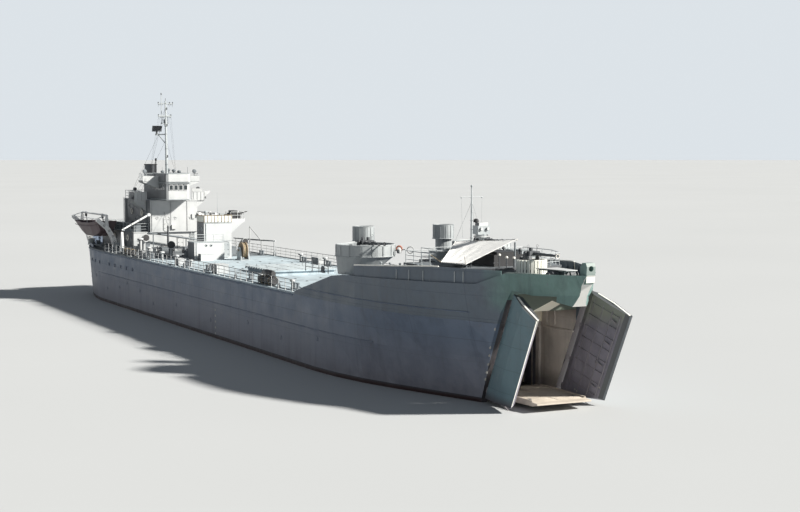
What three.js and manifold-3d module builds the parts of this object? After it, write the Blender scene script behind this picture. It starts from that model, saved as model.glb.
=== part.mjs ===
// Tank landing ship, 1:10 scale model: flat-bottomed hull with a through tank deck, opening bow
// doors, a bow ramp, a forecastle with gun platforms, and the bridge and boats aft.
// All tables are in full-size metres: X from the stern to the stem, Y to port, Z above the waterline.
// toModel() turns them into model millimetres, with the origin under the middle of the flat bottom.
import * as THREE from "three";
import { mergeVertices } from "three/addons/utils/BufferGeometryUtils.js";
import Module from "manifold-3d";

const wasm = await Module();
wasm.setup();

// ---------------------------------------------------------------- driving dimensions (full size, m)
const MODEL_SCALE = 10; // 1:10
const MM = 1000 / MODEL_SCALE; // model millimetres per full-size metre
const LENGTH = 116.4; // over all, stern to stem head
const HALF_BEAM = 8.23;
const DRAFT = 2.8; // flat bottom below the waterline
const DECK = 6.44; // main deck above the waterline
const PLATE = 0.14; // deck plating, as one panel
const GAP = 0.004; // between neighbouring panels (0.4 mm in the model)
const TANK_FLOOR = 0.35; // top of the tank deck
const TANK_HEAD = 5.2; // underside of the main deck's beams
const FORE_DECK = 8.6; // forecastle deck at its after end
const BREAK_X = 81.4; // where the main deck ends and the forecastle plating starts
const RAKE = THREE.MathUtils.degToRad(27.5); // of the bow door hinges, parallel to the stem
const HINGE = { x: 106.9, y: 3.3, z: 0.25 }; // foot of a bow door's hinge line
const RAMP_HINGE = { x: 105.3, z: 0.62 };
const RAMP_HALF = 2.55;
const RAMP_TIP = 2.3;

// ---------------------------------------------------------------- shape helpers
const V = (x, y, z) => new THREE.Vector3(x, y, z);

function solid(geometry) {
  let g = geometry.clone();
  for (const name of ["normal", "uv"]) g.deleteAttribute(name);
  g = mergeVertices(g, 1e-5);
  const made = new wasm.Manifold(
    new wasm.Mesh({
      numProp: 3,
      vertProperties: new Float32Array(g.attributes.position.array),
      triVerts: new Uint32Array(g.index.array),
    }),
  );
  return made;
}

const join = (list) => list.reduce((a, b) => a.add(b));

// A box from its low and high corners.
function box(x0, x1, y0, y1, z0, z1) {
  const g = new THREE.BoxGeometry(x1 - x0, y1 - y0, z1 - z0);
  g.translate((x0 + x1) / 2, (y0 + y1) / 2, (z0 + z1) / 2);
  return solid(g);
}

// A straight tapered round bar from p to q.
function bar(p, q, r0, r1 = r0, sides = 8) {
  const d = q.clone().sub(p);
  const g = new THREE.CylinderGeometry(r1, r0, d.length(), sides);
  g.applyQuaternion(
    new THREE.Quaternion().setFromUnitVectors(V(0, 1, 0), d.clone().normalize()),
  );
  const m = p.clone().add(q).multiplyScalar(0.5);
  g.translate(m.x, m.y, m.z);
  return solid(g);
}

const post = (x, y, z0, z1, r0, r1 = r0, sides = 12) =>
  bar(V(x, y, z0), V(x, y, z1), r0, r1, sides);

// A plan outline (x, y) raised from z0 to z1.
function plan(points, z0, z1) {
  const g = new THREE.ExtrudeGeometry(
    new THREE.Shape(points.map(([x, y]) => new THREE.Vector2(x, y))),
    { depth: z1 - z0, bevelEnabled: false },
  );
  g.translate(0, 0, z0);
  return solid(g);
}

// A side profile (x, z) carried across from y0 to y1.
function profile(points, y0, y1) {
  const g = new THREE.ExtrudeGeometry(
    new THREE.Shape(points.map(([x, z]) => new THREE.Vector2(x, z))),
    { depth: y1 - y0, bevelEnabled: false },
  );
  g.rotateX(Math.PI / 2);
  g.translate(0, y1, 0);
  return solid(g);
}

// A cross section (y, z) carried along from x0 to x1.
function section(points, x0, x1) {
  const g = new THREE.ExtrudeGeometry(
    new THREE.Shape(points.map(([y, z]) => new THREE.Vector2(y, z))),
    { depth: x1 - x0, bevelEnabled: false },
  );
  g.rotateX(Math.PI / 2);
  g.rotateZ(Math.PI / 2);
  g.translate(x0, 0, 0);
  return solid(g);
}

// A skin over rings with the same number of corners, closed at both ends.
function loft(rings) {
  const n = rings[0].length,
    pos = rings.flat(2),
    index = [];
  for (let r = 0; r + 1 < rings.length; r++)
    for (let i = 0; i < n; i++) {
      const a = r * n + i,
        b = r * n + ((i + 1) % n);
      index.push(a, b, b + n, a, b + n, a + n);
    }
  // A cap is filled in plan when its ring is level, and otherwise as seen along the ship.
  for (const [r, first] of [
    [0, true],
    [rings.length - 1, false],
  ]) {
    const ring = rings[r],
      level = ring.every((p) => Math.abs(p[2] - ring[0][2]) < 1e-6),
      [u, v] = level ? [0, 1] : [1, 2];
    const flat = ring.map((p) => new THREE.Vector2(p[u], p[v])),
      clockwise = THREE.ShapeUtils.isClockWise(flat);
    for (const t of THREE.ShapeUtils.triangulateShape(flat, [])) {
      const follows =
        THREE.ShapeUtils.isClockWise(t.map((k) => flat[k])) === clockwise;
      const [i, j, k] = follows !== first ? t : [t[0], t[2], t[1]];
      index.push(i + r * n, j + r * n, k + r * n);
    }
  }
  const g = new THREE.BufferGeometry();
  g.setAttribute("position", new THREE.Float32BufferAttribute(pos, 3));
  g.setIndex(index);
  let volume = 0;
  for (let i = 0; i < index.length; i += 3) {
    const [a, b, c] = [0, 1, 2].map((k) =>
      V(...pos.slice(index[i + k] * 3, index[i + k] * 3 + 3)),
    );
    volume += a.dot(b.cross(c));
  }
  if (volume < 0)
    for (let i = 0; i < index.length; i += 3)
      [index[i + 1], index[i + 2]] = [index[i + 2], index[i + 1]];
  g.setIndex(index);
  return solid(g);
}

// A ring from the half section's (y, z) corners, listed from the bottom up: port, then starboard.
const ring = (x, half) => [
  ...half.map(([y, z]) => [x, y, z]),
  ...half
    .slice()
    .reverse()
    .map(([y, z]) => [x, -y, z]),
];

const mirror = (s) => s.mirror([0, 1, 0]);
const about = (s, x, y, z, axis, degrees) => {
  const m = new THREE.Matrix4()
    .makeTranslation(x, y, z)
    .multiply(
      new THREE.Matrix4().makeRotationAxis(
        axis.clone().normalize(),
        THREE.MathUtils.degToRad(degrees),
      ),
    )
    .multiply(new THREE.Matrix4().makeTranslation(-x, -y, -z));
  return s.transform(m.elements.slice());
};

// ---------------------------------------------------------------- hull
// One row a station. x: from the stern; zb, bb: height and half-breadth of the flat bottom;
// z1, b1: top of the bilge; bw, bm, bd: half-breadths at the waterline, at 3.5 m and at the deck.
const STATIONS = [
  // x, zb, bb, z1, b1, bw, bm, bd
  [0.0, -0.3, 1.5, -0.05, 2.3, 2.5, 2.8, 3.1],
  [0.5, -0.34, 2.5, -0.05, 3.6, 3.8, 4.2, 4.5],
  [1.6, -0.38, 3.7, -0.05, 4.9, 5.1, 5.5, 5.75],
  [3.5, -0.44, 4.6, -0.08, 5.95, 6.1, 6.45, 6.7],
  [7.0, -0.6, 5.4, -0.15, 6.95, 7.1, 7.35, 7.5],
  [11.0, -1.2, 6.0, -0.5, 7.65, 7.8, 7.92, 8.0],
  [15.0, -2.1, 6.6, -1.2, 8.1, HALF_BEAM, HALF_BEAM, HALF_BEAM],
  [19.0, -2.68, 7.0, -1.7, 8.2, HALF_BEAM, HALF_BEAM, HALF_BEAM],
  [22.0, -DRAFT, 7.2, -1.8, HALF_BEAM, HALF_BEAM, HALF_BEAM, HALF_BEAM],
  [86.0, -DRAFT, 7.2, -1.8, HALF_BEAM, HALF_BEAM, HALF_BEAM, HALF_BEAM],
  [90.0, -DRAFT, 6.7, -1.8, 7.75, 7.95, 8.1, 8.2],
  [94.0, -2.72, 5.7, -1.75, 6.9, 7.3, 7.75, 8.02],
  [98.0, -2.5, 4.5, -1.6, 5.8, 6.25, 6.95, 7.5],
  [102.0, -2.05, 3.2, -1.2, 4.45, 5.0, 5.85, 6.65],
  [105.0, -1.55, 2.4, -0.9, 3.5, 4.05, 4.85, 5.75],
  [107.0, -1.1, 1.9, -0.6, 2.85, 3.42, 4.0, 4.9],
  [110.6, -0.4, 1.3, -0.2, 2.1, 2.7, 3.3, 3.75],
];
const hullRing = ([x, zb, bb, z1, b1, bw, bm, bd]) =>
  ring(x, [
    [bb, zb],
    [bb + (b1 - bb) * 0.71, zb + (z1 - zb) * 0.29],
    [b1, z1],
    [bw, 0.2],
    [bm, 3.5],
    [bd, DECK - PLATE - GAP],
  ]);
// The hinge line's x at a height z.
const jambX = (z) => HINGE.x + (z - HINGE.z) * Math.tan(RAKE);

const forwardOfJambs = profile(
  [
    [jambX(-4), -4],
    [125, -4],
    [125, 9.3],
    [jambX(9.3), 9.3],
  ],
  -9,
  9,
);
// The well between the jambs, over a sill that slopes down forward of the ramp hinge.
const well = profile(
  [
    [105.0, TANK_FLOOR - 0.08],
    [105.75, TANK_FLOOR - 0.08],
    [108.5, -0.75],
    [114, -0.75],
    [114, 8.5],
    [105.0, 8.5],
  ],
  -2.9,
  2.9,
);
const TANK_PLAN = [
  // x, half-breadth of the tank deck
  [36, 4.4],
  [96, 4.4],
  [104.5, 2.95],
  [104.5, 2.7],
  [105.4, 2.7],
];
const bothSides = (half) => [
  ...half,
  ...half
    .slice()
    .reverse()
    .map(([x, y]) => [x, -y]),
];
const ENGINE_ROOM = { x0: 40, x1: 54, y: 3.7, z0: -2.35 };

function hullSolid() {
  let s = loft(STATIONS.map(hullRing));
  s = s.subtract(forwardOfJambs);
  s = s.subtract(well);
  s = s.subtract(plan(bothSides(TANK_PLAN), TANK_FLOOR - 0.3, TANK_HEAD));
  const e = ENGINE_ROOM;
  s = s.subtract(box(e.x0, e.x1, -e.y, e.y, e.z0, TANK_FLOOR));
  // skeg on the centreline, under the rising run
  s = s.add(
    profile(
      [
        [8.2, -0.45],
        [9.4, -1.9],
        [12.5, -2.75],
        [21.0, -2.75],
        [21.0, -2.4],
        [12.0, -1.2],
      ],
      -0.22,
      0.22,
    ),
  );
  return s;
}

const deckPoints = STATIONS.filter((r) => r[0] < BREAK_X).map((r) => [r[0], r[7]]);

function mainDeckSolid() {
  return plan(
    bothSides([...deckPoints, [BREAK_X - GAP, HALF_BEAM]]),
    DECK - PLATE,
    DECK,
  );
}

// ---------------------------------------------------------------- forecastle
// x; half-breadths at the deck joint (6.3), at 8.6 and at 10.4 above the water
const FORE = [
  [BREAK_X, 8.23, 8.23, 8.23],
  [90, 8.2, 8.22, 8.23],
  [94, 8.02, 8.1, 8.12],
  [98, 7.5, 7.7, 7.8],
  [102, 6.65, 6.95, 7.15],
  [105, 5.75, 6.1, 6.4],
  [107, 4.9, 5.35, 5.7],
  [109.2, 4.15, 4.4, 4.75],
  [111.2, 3.6, 3.55, 3.7],
  [112.2, 2.9, 2.8, 3.2],
  [113.2, 2.2, 2.0, 2.6],
  [114.2, 1.3, 1.15, 1.95],
  [115.0, 0.5, 0.5, 1.4],
  [115.6, 0.2, 0.22, 1.0],
  [116.1, 0.1, 0.12, 0.66],
  [LENGTH, 0.06, 0.08, 0.4],
];
// The deck's and the bulwark's side profiles, from aft.
const FORE_DECK_LINE = [
  [BREAK_X, DECK],
  [89.2, DECK],
  [89.2, FORE_DECK],
  [104, 8.85],
  [LENGTH, 9.45],
];
const BULWARK_LINE = [
  [BREAK_X, DECK + 0.12],
  [89.6, 8.5],
  [92, FORE_DECK + 0.14],
  [108.4, 9.12],
  [111.0, 10.03],
  [114.6, 10.08],
  [LENGTH, 10.14],
];
function forecastleSolid() {
  const foot = DECK - PLATE;
  const foreRing = (inset) =>
    FORE.map(([x, a, b, c]) =>
      ring(x, [
        [Math.max(a - inset, 0.02), foot - (inset ? 0.3 : 0)],
        [Math.max(b - inset, 0.03), 8.6],
        [Math.max(c - inset, 0.04), 10.5],
        [Math.max(c - inset, 0.04), 11.3],
      ]),
    );
  const outside = loft(foreRing(0));
  // side profile: the foot, the jambs, the underside of the overhang, the stem and the top
  const side = profile(
    [
      [BREAK_X, foot],
      [jambX(foot), foot],
      [jambX(8.8), 8.8],
      [112.4, 8.55],
      [113.7, 8.2],
      [114.9, 7.82],
      [LENGTH, 10.14],
      ...BULWARK_LINE.slice().reverse().slice(1),
    ],
    -9,
    9,
  );
  let s = outside.intersect(side);
  // hollow it above the deck, inside the bulwark
  const above = profile(
    [...FORE_DECK_LINE.slice(0, -1), [115.9, 9.42], [115.9, 13], [BREAK_X - 1, 13], [BREAK_X - 1, DECK]],
    -9,
    9,
  );
  s = s.subtract(loft(foreRing(0.13)).intersect(above));
  s = s.subtract(well);
  // transverse bulkhead across the top of the well, ahead of the raised ramp
  s = s.add(box(109.85, 110.0, -2.95, 2.95, 7.05, 8.6));
  // bullnose on the stem head
  const nose = profile(
    [
      [115.55, 9.3],
      [116.3, 9.6],
      [116.4, 10.75],
      [116.25, 11.0],
      [115.8, 11.0],
      [115.55, 10.7],
    ],
    -0.36,
    0.36,
  );
  return s.add(nose).subtract(bar(V(114.5, 0, 10.55), V(117, 0, 10.62), 0.2, 0.2, 12));
}

// ---------------------------------------------------------------- bow doors
// A door lies across from its hinge line (s) and up along it (t); out is outboard of the flat
// between the hinge line and the leading edge. The leading edge is bevelled, so that the two
// doors meet on the centreline when shut.
const DOOR = { open: 8, shut: 43 };
const DOOR_ROWS = [
  // s of the outer skin, s of the inner face, t of the lower edge, t of the upper edge, outer, inner
  [0.2, 0.2, 0.25, 9.45, 0.0, -0.08],
  [0.85, 0.85, 0.6, 9.62, 0.13, -0.42],
  [2.6, 2.6, 1.55, 9.82, 0.27, -0.4],
  [4.7, 4.33, 2.6, 10.05, 0.06, -0.3],
];
function doorSolid() {
  const a = V(Math.sin(RAKE), 0, Math.cos(RAKE)),
    u = V(Math.cos(RAKE), 0, -Math.sin(RAKE)),
    alpha = THREE.MathUtils.degToRad(DOOR.open),
    e = u.clone().multiplyScalar(Math.cos(alpha)).add(V(0, Math.sin(alpha), 0)),
    n = u.clone().multiplyScalar(-Math.sin(alpha)).add(V(0, Math.cos(alpha), 0)); // outboard
  const at = (s, t, out) =>
    V(HINGE.x, HINGE.y, HINGE.z)
      .addScaledVector(a, t)
      .addScaledVector(e, s)
      .addScaledVector(n, out)
      .toArray();
  return loft(
    DOOR_ROWS.map(([s, si, t0, t1, out, inside]) => [
      at(s, t0, out),
      at(s, (t0 + t1) / 2, out + 0.02),
      at(s, t1, out + 0.03),
      at(si, t1, inside),
      at(si, t0, inside),
    ]),
  );
}

function rampSolid() {
  const { x, z } = RAMP_HINGE;
  const flap = profile(
    [
      [x, z - 0.17],
      [x + 7.1, z - 0.17],
      [x + 7.75, z - 0.02],
      [x + 7.75, z + 0.08],
      [x + 7.1, z + 0.13],
      [x, z + 0.13],
    ],
    -RAMP_HALF,
    RAMP_HALF,
  ).intersect(
    // narrower towards its tip, so that it passes between the doors
    plan(
      bothSides([
        [x - 1, RAMP_HALF],
        [x + 2.5, RAMP_HALF],
        [x + 7.1, RAMP_TIP],
        [x + 8, RAMP_TIP],
      ]),
      z - 1,
      z + 1,
    ),
  );
  // the hinge tube, its ends close to the well's sides
  return flap.add(bar(V(x, -2.84, z), V(x, 2.84, z), 0.15, 0.15, 16));
}

// ---------------------------------------------------------------- gun tubs and mounts
// A round open tub: floor, wall and what carries it.
function tub({ x, y, r, top, floor, wall = 0.12, sides = 24 }) {
  const g = new THREE.LatheGeometry(
    [
      [0, floor - 0.14],
      [r, floor - 0.14],
      [r, top],
      [r - wall, top],
      [r - wall, floor],
      [0, floor],
    ].map(([a, b]) => new THREE.Vector2(a, b)),
    sides,
  );
  g.rotateX(Math.PI / 2);
  g.translate(x, y, 0);
  return solid(g);
}
function cone(x0, y0, r0, z0, x1, y1, r1, z1, sides = 24) {
  const circle = (x, y, r, z) =>
    [...Array(sides)].map((_, i) => {
      const a = (i / sides) * 2 * Math.PI;
      return [x + r * Math.cos(a), y + r * Math.sin(a), z];
    });
  return loft([circle(x0, y0, r0, z0), circle(x1, y1, r1, z1)]);
}
const TUB = { x: 90.65, y: 5.55, r: 2.5, top: 11.1, floor: 10.3 };
const DIRECTOR_TUB = { x: 86.7, y: 3.9, r: 0.95, top: 12.4, floor: 11.3 };
const BOW_TUB = { x: 108.3, y: 0, r: 1.08, top: 10.75, floor: 10.2 };

const gunTub = () =>
  tub(TUB).add(
    cone(TUB.x, TUB.y + 0.95, 1.45, FORE_DECK + 0.1, TUB.x, TUB.y, TUB.r - 0.01, TUB.floor - 0.1),
  );
const directorTub = () =>
  tub({ ...DIRECTOR_TUB, sides: 16 }).add(
    post(DIRECTOR_TUB.x, DIRECTOR_TUB.y, DECK + GAP, DIRECTOR_TUB.floor - 0.05, 0.72, 0.72, 16),
  );

// A pedestal mount w half-wide with its trunnions h above the floor, and the cradle with its
// barrels that tips on them.
function mountBase({ x, y, z, w, h }) {
  const cheek = (y0) =>
    profile(
      [
        [x - 0.32, z + 0.5],
        [x + 0.32, z + 0.5],
        [x + 0.14, z + h + 0.16],
        [x - 0.14, z + h + 0.16],
      ],
      y0,
      y0 + 0.1,
    );
  return join([
    post(x, y, z, z + 0.42, 0.55, 0.42, 16),
    box(x - 0.35, x + 0.35, y - w, y + w, z + 0.36, z + 0.52),
    cheek(y - w),
    cheek(y + w - 0.1),
  ]);
}
function cradle({ x, y, z, w, h }, length, r, barrels) {
  const c = z + h;
  return join([
    box(x - 0.3, x + 0.5, y - w + 0.16, y + w - 0.16, c - 0.16, c + 0.18),
    ...barrels.map((dy) =>
      bar(V(x + 0.4, y + dy, c), V(x + length, y + dy, c), r * 1.5, r, 8),
    ),
    ...barrels.map((dy) =>
      bar(V(x + length - 0.02, y + dy, c), V(x + length + 0.18, y + dy, c), r * 1.6, r * 1.6, 8),
    ),
  ]);
}
const BOW_GUN = { x: 108.3, y: 0, z: BOW_TUB.floor + GAP, w: 0.6, h: 1.02 };
const TWIN = { x: 90.75, y: 5.55, z: TUB.floor + GAP, w: 0.7, h: 0.98 };

// ---------------------------------------------------------------- forward platform and house
// Narrow at its after end, full width from side to x1.
const PLATFORM = { x0: 95.2, side: 97.9, x1: 106.4, z: 10.0, base: [96.2, 105.2, 2.5] };
const PLATFORM_PLAN = [
  [PLATFORM.x0, 2.75],
  [PLATFORM.side, 2.75],
  [PLATFORM.side, 5.5],
  [102.6, 5.5],
  [105.6, 4.3],
  [PLATFORM.x1, 2.2],
];
function platformSolid() {
  const { z } = PLATFORM,
    [bx0, bx1, by] = PLATFORM.base;
  const foot = (x) => (x < 104 ? FORE_DECK + ((x - 89.2) / 14.8) * 0.25 : 8.85 + ((x - 104) / 12.4) * 0.6) + GAP;
  const list = [
    plan(bothSides(PLATFORM_PLAN), z - 0.16, z),
    box(bx0, bx1, -by, by, foot(bx1), z - 0.1),
  ];
  for (const px of [98.2, 99.4, 100.6, 101.8])
    for (const py of [-5.35, 5.35]) list.push(post(px, py, foot(px), z - 0.1, 0.09, 0.09, 6));
  // ridge posts and eave stanchions of the awning
  for (const [r, e] of AWNING.ridge.map((p, i) => [p, AWNING.eave[i]])) {
    const inset = r[0] < 100 ? 0.25 : -0.25;
    list.push(post(r[0] + inset, r[1] - 0.08, z - 0.05, r[2] - 0.16, 0.08, 0.08, 6));
    list.push(post(e[0], e[1] + 0.12, z - 0.05, e[2] - 0.05, 0.05, 0.05, 6));
  }
  return join(list);
}
const forwardHouse = () =>
  join([
    box(98.2, 104.6, -1.1, 1.5, PLATFORM.z + GAP, 10.9),
    box(99.6, 104.3, -0.7, 1.2, 10.85, 11.1),
  ]);
// The awning slopes one way: from its high edge on the centreline to its low edge to starboard.
const AWNING = {
  ridge: [
    [96.0, 0.15, 11.42],
    [106.0, 0.15, 12.08],
  ],
  eave: [
    [102.4, -4.6, 10.24],
    [105.2, -3.95, 10.24],
  ],
  thick: 0.1,
};
function awningSolid() {
  const t = AWNING.thick;
  const edge = (r, e) => [
    [e[0], e[1], e[2]],
    [e[0], e[1], e[2] + t],
    [r[0], r[1], r[2] + t],
    [r[0], r[1], r[2]],
  ];
  return loft(AWNING.ridge.map((r, i) => edge(r, AWNING.eave[i])));
}

// ---------------------------------------------------------------- midships and bridge
function forwardBlock() {
  // stands on the main deck ahead of the bridge, with a low house to starboard and a tub to port
  return join([
    box(34.6, 37.2, -1.7, 1.7, DECK + GAP, 10.75),
    box(36.2, 38.6, -3.35, 0.3, DECK + GAP, 8.5),
    // parapet round its top
    box(34.6, 37.2, -1.7, 1.7, 10.7, 11.5).subtract(box(34.7, 37.1, -1.6, 1.6, 10.6, 12.2)),
    // bracketed platform to port
    section(
      [
        [1.65, 9.3],
        [3.1, 10.55],
        [3.5, 10.8],
        [3.5, 11.1],
        [1.65, 11.1],
      ],
      35.0,
      36.9,
    ),
  ]);
}
// A hawser reel on its stand; its axle runs across the ship.
const REEL = { x: 40.2, y: 2.05, z: 7.58, r: 0.95 };
function reelSolid() {
  const { x, y, z, r } = REEL;
  const across = (y0, y1, radius, sides) => bar(V(x, y0, z), V(x, y1, z), radius, radius, sides);
  return join([
    across(y - 0.27, y - 0.18, r, 20),
    across(y + 0.18, y + 0.27, r, 20),
    across(y - 0.22, y + 0.22, 0.66, 20),
    // the axle, through a bearing at each end
    across(y - 0.62, y + 0.62, 0.12, 12),
  ]);
}
function reelStand() {
  const { x, y, z } = REEL;
  const frame = [
    [x - 0.7, DECK + 0.05],
    [x + 0.7, DECK + 0.05],
    [x + 0.4, z + 0.35],
    [x - 0.4, z + 0.35],
  ];
  return join([
    box(x - 0.9, x + 0.9, y - 0.66, y + 0.66, DECK + GAP, DECK + 0.1),
    profile(frame, y - 0.54, y - 0.4),
    profile(frame, y + 0.4, y + 0.54),
  ]).subtract(bar(V(x, y - 1, z), V(x, y + 1, z), 0.18, 0.18, 16));
}

// Levels of the main house: x0, x1, half-breadth, z0, z1
const HOUSE = [
  [5.0, 20.0, 5.2, DECK + GAP, 8.9],
  [8.6, 20.3, 3.1, 8.85, 12.9],
];
const BRIDGE_Z = 12.9;
function mainHouse() {
  const list = HOUSE.map(([x0, x1, y, z0, z1]) => box(x0, x1, -y, y, z0, z1));
  // wing platforms at the top of the house
  list.push(box(16.4, 18.6, -4.7, 4.7, BRIDGE_Z - 0.14, BRIDGE_Z));
  for (const s of [-1, 1])
    list.push(
      box(16.4, 18.6, Math.min(s * 4.7, s * 4.6), Math.max(s * 4.7, s * 4.6), BRIDGE_Z - 0.1, 13.9),
      box(18.5, 18.6, Math.min(s * 3.0, s * 4.7), Math.max(s * 3.0, s * 4.7), BRIDGE_Z - 0.1, 13.9),
      // bracket behind the boom's heel
      box(19.7, 20.37, Math.min(s * 3.05, s * 3.55), Math.max(s * 3.05, s * 3.55), 10.92, 11.28),
    );
  return join(list);
}
// Pilot house plan: a broad flat front with small corners.
const PILOT_PLAN = [
  [12.6, 1.62],
  [21.75, 1.62],
  [22.05, 1.5],
  [22.2, 1.25],
];
function pilotHouse() {
  return plan(bothSides(PILOT_PLAN), BRIDGE_Z + GAP, 15.25);
}
function flyingBridge() {
  const outline = bothSides([
    [13.2, 1.72],
    [21.85, 1.72],
    [22.2, 1.58],
    [22.35, 1.3],
  ]);
  const inner = bothSides([
    [13.32, 1.6],
    [21.8, 1.6],
    [22.1, 1.48],
    [22.23, 1.25],
  ]);
  return join([
    plan(outline, 15.25 + GAP, 16.3).subtract(plan(inner, 15.4, 17)),
    // the wings
    box(17.4, 19.4, -3.75, 3.75, 15.25 + GAP, 15.4),
    ...[-1, 1].map((s) =>
      box(19.3, 19.4, Math.min(s * 1.65, s * 3.75), Math.max(s * 1.65, s * 3.75), 15.3, 15.95),
    ),
  ]);
}
function funnelSolid() {
  const g = new THREE.CylinderGeometry(1, 1.06, 1, 24);
  g.rotateX(Math.PI / 2);
  g.scale(1.35, 0.74, 4.5);
  g.translate(10.3, 0, BRIDGE_Z + GAP + 2.25);
  const s = solid(g);
  const h = new THREE.CylinderGeometry(1, 1, 1, 24);
  h.rotateX(Math.PI / 2);
  h.scale(1.2, 0.6, 1.2);
  h.translate(10.3, 0, 17.5);
  return s.subtract(solid(h));
}
const MAST = { x0: 17.45, z0: 15.47, x1: 17.15, z1: 25.55 };
const mastX = (z) => MAST.x0 + ((z - MAST.z0) / (MAST.z1 - MAST.z0)) * (MAST.x1 - MAST.x0);
// The radar turns on a bracket abaft the mast and to starboard.
const RADAR = { x: mastX(21.3) - 1.3, y: -0.83, z: 21.34 + GAP };
function mastSolid() {
  const at = (z, y = 0, dx = 0) => V(mastX(z) + dx, y, z);
  const end = V(RADAR.x, RADAR.y, 21.27);
  return join([
    bar(at(MAST.z0), at(MAST.z1), 0.2, 0.09, 10),
    bar(at(25.2, -1.0), at(25.2, 1.0), 0.06, 0.06, 6),
    bar(at(23.6, -1.0), at(23.6, 0.75), 0.1, 0.1, 6),
    // the pole beside the topmast
    bar(at(23.55, -0.57), V(mastX(23.55), -0.57, 26.6), 0.05, 0.04, 6),
    // radar bracket: an arm, its strut and the plate under the antenna
    bar(at(21.27), end, 0.07, 0.07, 6),
    bar(at(20.0), end.clone().add(V(0.2, 0.13, -0.02)), 0.06, 0.06, 6),
    post(RADAR.x, RADAR.y, 21.16, 21.34, 0.22, 0.22, 10),
    // lookout's platform on the after side
    box(mastX(22.6) - 0.75, mastX(22.6), -0.45, 0.4, 22.6, 22.68),
    bar(at(21.8), at(22.63, 0, -0.55), 0.05, 0.05, 6),
  ]);
}
function radarSolid() {
  const { x, y, z } = RADAR;
  return join([
    post(x, y, z, z + 0.35, 0.16, 0.12, 10),
    profile([[x - 0.12, z + 0.3], [x + 0.12, z + 0.3], [x + 0.2, z + 1.0], [x + 0.1, z + 1.05]], y - 0.62, y + 0.62),
  ]);
}
const signalMast = () => post(98.45, 0.3, 10.9 + GAP, 16.0, 0.11, 0.05, 8);

// ---------------------------------------------------------------- boats and davits (starboard; port mirrored)
const BOAT = { x0: 3.5, x1: 14.5, y: -7.15, keel: 7.95 };
function boatSolid() {
  const { x0, x1, y, keel } = BOAT;
  // x, half-breadth at the bottom, at the gunwale, keel height, gunwale height
  const rows = [
    [x0, 0.75, 1.4, 1.25, 1.85],
    [x0 + 1.6, 0.85, 1.52, 0.55, 1.8],
    [x0 + 4, 0.95, 1.58, 0.12, 1.75],
    [x1 - 3, 0.95, 1.55, 0.12, 1.85],
    [x1 - 0.6, 0.9, 1.4, 0.6, 2.1],
    [x1, 0.85, 1.3, 1.0, 2.15],
  ];
  const r = (dx, inset) =>
    rows.map(([x, a, b, k, g], i) => [
      [x + (i === 0 ? dx : i === 5 ? -dx : 0), y + a - inset, keel + k + inset],
      [x + (i === 0 ? dx : i === 5 ? -dx : 0), y + b - inset, keel + g + (inset ? 0.6 : 0)],
      [x + (i === 0 ? dx : i === 5 ? -dx : 0), y - b + inset, keel + g + (inset ? 0.6 : 0)],
      [x + (i === 0 ? dx : i === 5 ? -dx : 0), y - a + inset, keel + k + inset],
    ]);
  return loft(r(0, 0)).subtract(loft(r(0.15, 0.14)));
}
// The arms stand clear of the boat's ends and carry it from a spar between their heads.
const DAVIT = { y: -6.35, z: 7.0, x: [2.75, 15.25], head: { y: -7.35, z: 10.95 } };
function davitFeet() {
  return join([
    box(2.2, 15.8, DAVIT.y - 0.2, DAVIT.y + 0.75, DECK + GAP, DECK + 0.12),
    ...DAVIT.x.flatMap((x) =>
      [-0.42, 0.28].map((d) =>
        box(x + d, x + d + 0.14, DAVIT.y - 0.18, DAVIT.y + 0.55, DECK + 0.1, DAVIT.z + 0.35),
      ),
    ),
  ]);
}
function davitArms() {
  const { y, z, head } = DAVIT;
  const arm = DAVIT.x.map((x) =>
    section(
      [
        [y - 0.2, z - 0.2],
        [y + 0.25, z - 0.2],
        [y + 0.12, z + 0.9],
        [y - 0.7, z + 2.3],
        [y - 2.15, z + 3.55],
        [y - 2.45, z + 3.5],
        [y - 2.4, z + 3.2],
        [y - 1.15, z + 2.1],
        [y - 0.45, z + 1.0],
      ],
      x - 0.2,
      x + 0.2,
    ),
  );
  // brackets from the arms up to the spar, and the falls from it
  for (const x of DAVIT.x)
    arm.push(
      section(
        [
          [y - 0.75, z + 2.2],
          [y - 1.3, z + 2.75],
          [head.y - 0.12, head.z],
          [head.y + 0.12, head.z],
        ],
        x - 0.12,
        x + 0.12,
      ),
    );
  arm.push(bar(V(DAVIT.x[0], head.y, head.z - 0.05), V(DAVIT.x[1], head.y, head.z - 0.05), 0.1, 0.1, 8));
  for (const x of [BOAT.x0 + 1.2, BOAT.x1 - 1.4])
    arm.push(bar(V(x, head.y, head.z - 0.02), V(x, BOAT.y, BOAT.keel + 1.25), 0.06, 0.06, 6));
  return join(arm);
}
// A boom stepped on the house's front corner, its outer end on a post at the ship's side.
const BOOM = { heel: [20.55, -3.35, 11.1], head: [20.75, -6.9, 9.25] };
const boomSolid = () =>
  join([
    bar(V(...BOOM.heel), V(...BOOM.head), 0.13, 0.1, 8),
    bar(V(BOOM.heel[0] - 0.12, BOOM.heel[1], BOOM.heel[2]), V(BOOM.heel[0] + 0.12, BOOM.heel[1], BOOM.heel[2]), 0.2, 0.2, 10),
  ]);
const boomPost = () =>
  join([
    // a tapered pylon
    profile([[20.2, DECK + GAP], [21.3, DECK + GAP], [20.9, 9.0], [20.6, 9.0]], -7.02, -6.78),
    box(20.4, 21.1, -7.25, -6.55, DECK + GAP, DECK + 0.1),
  ]);

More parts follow.
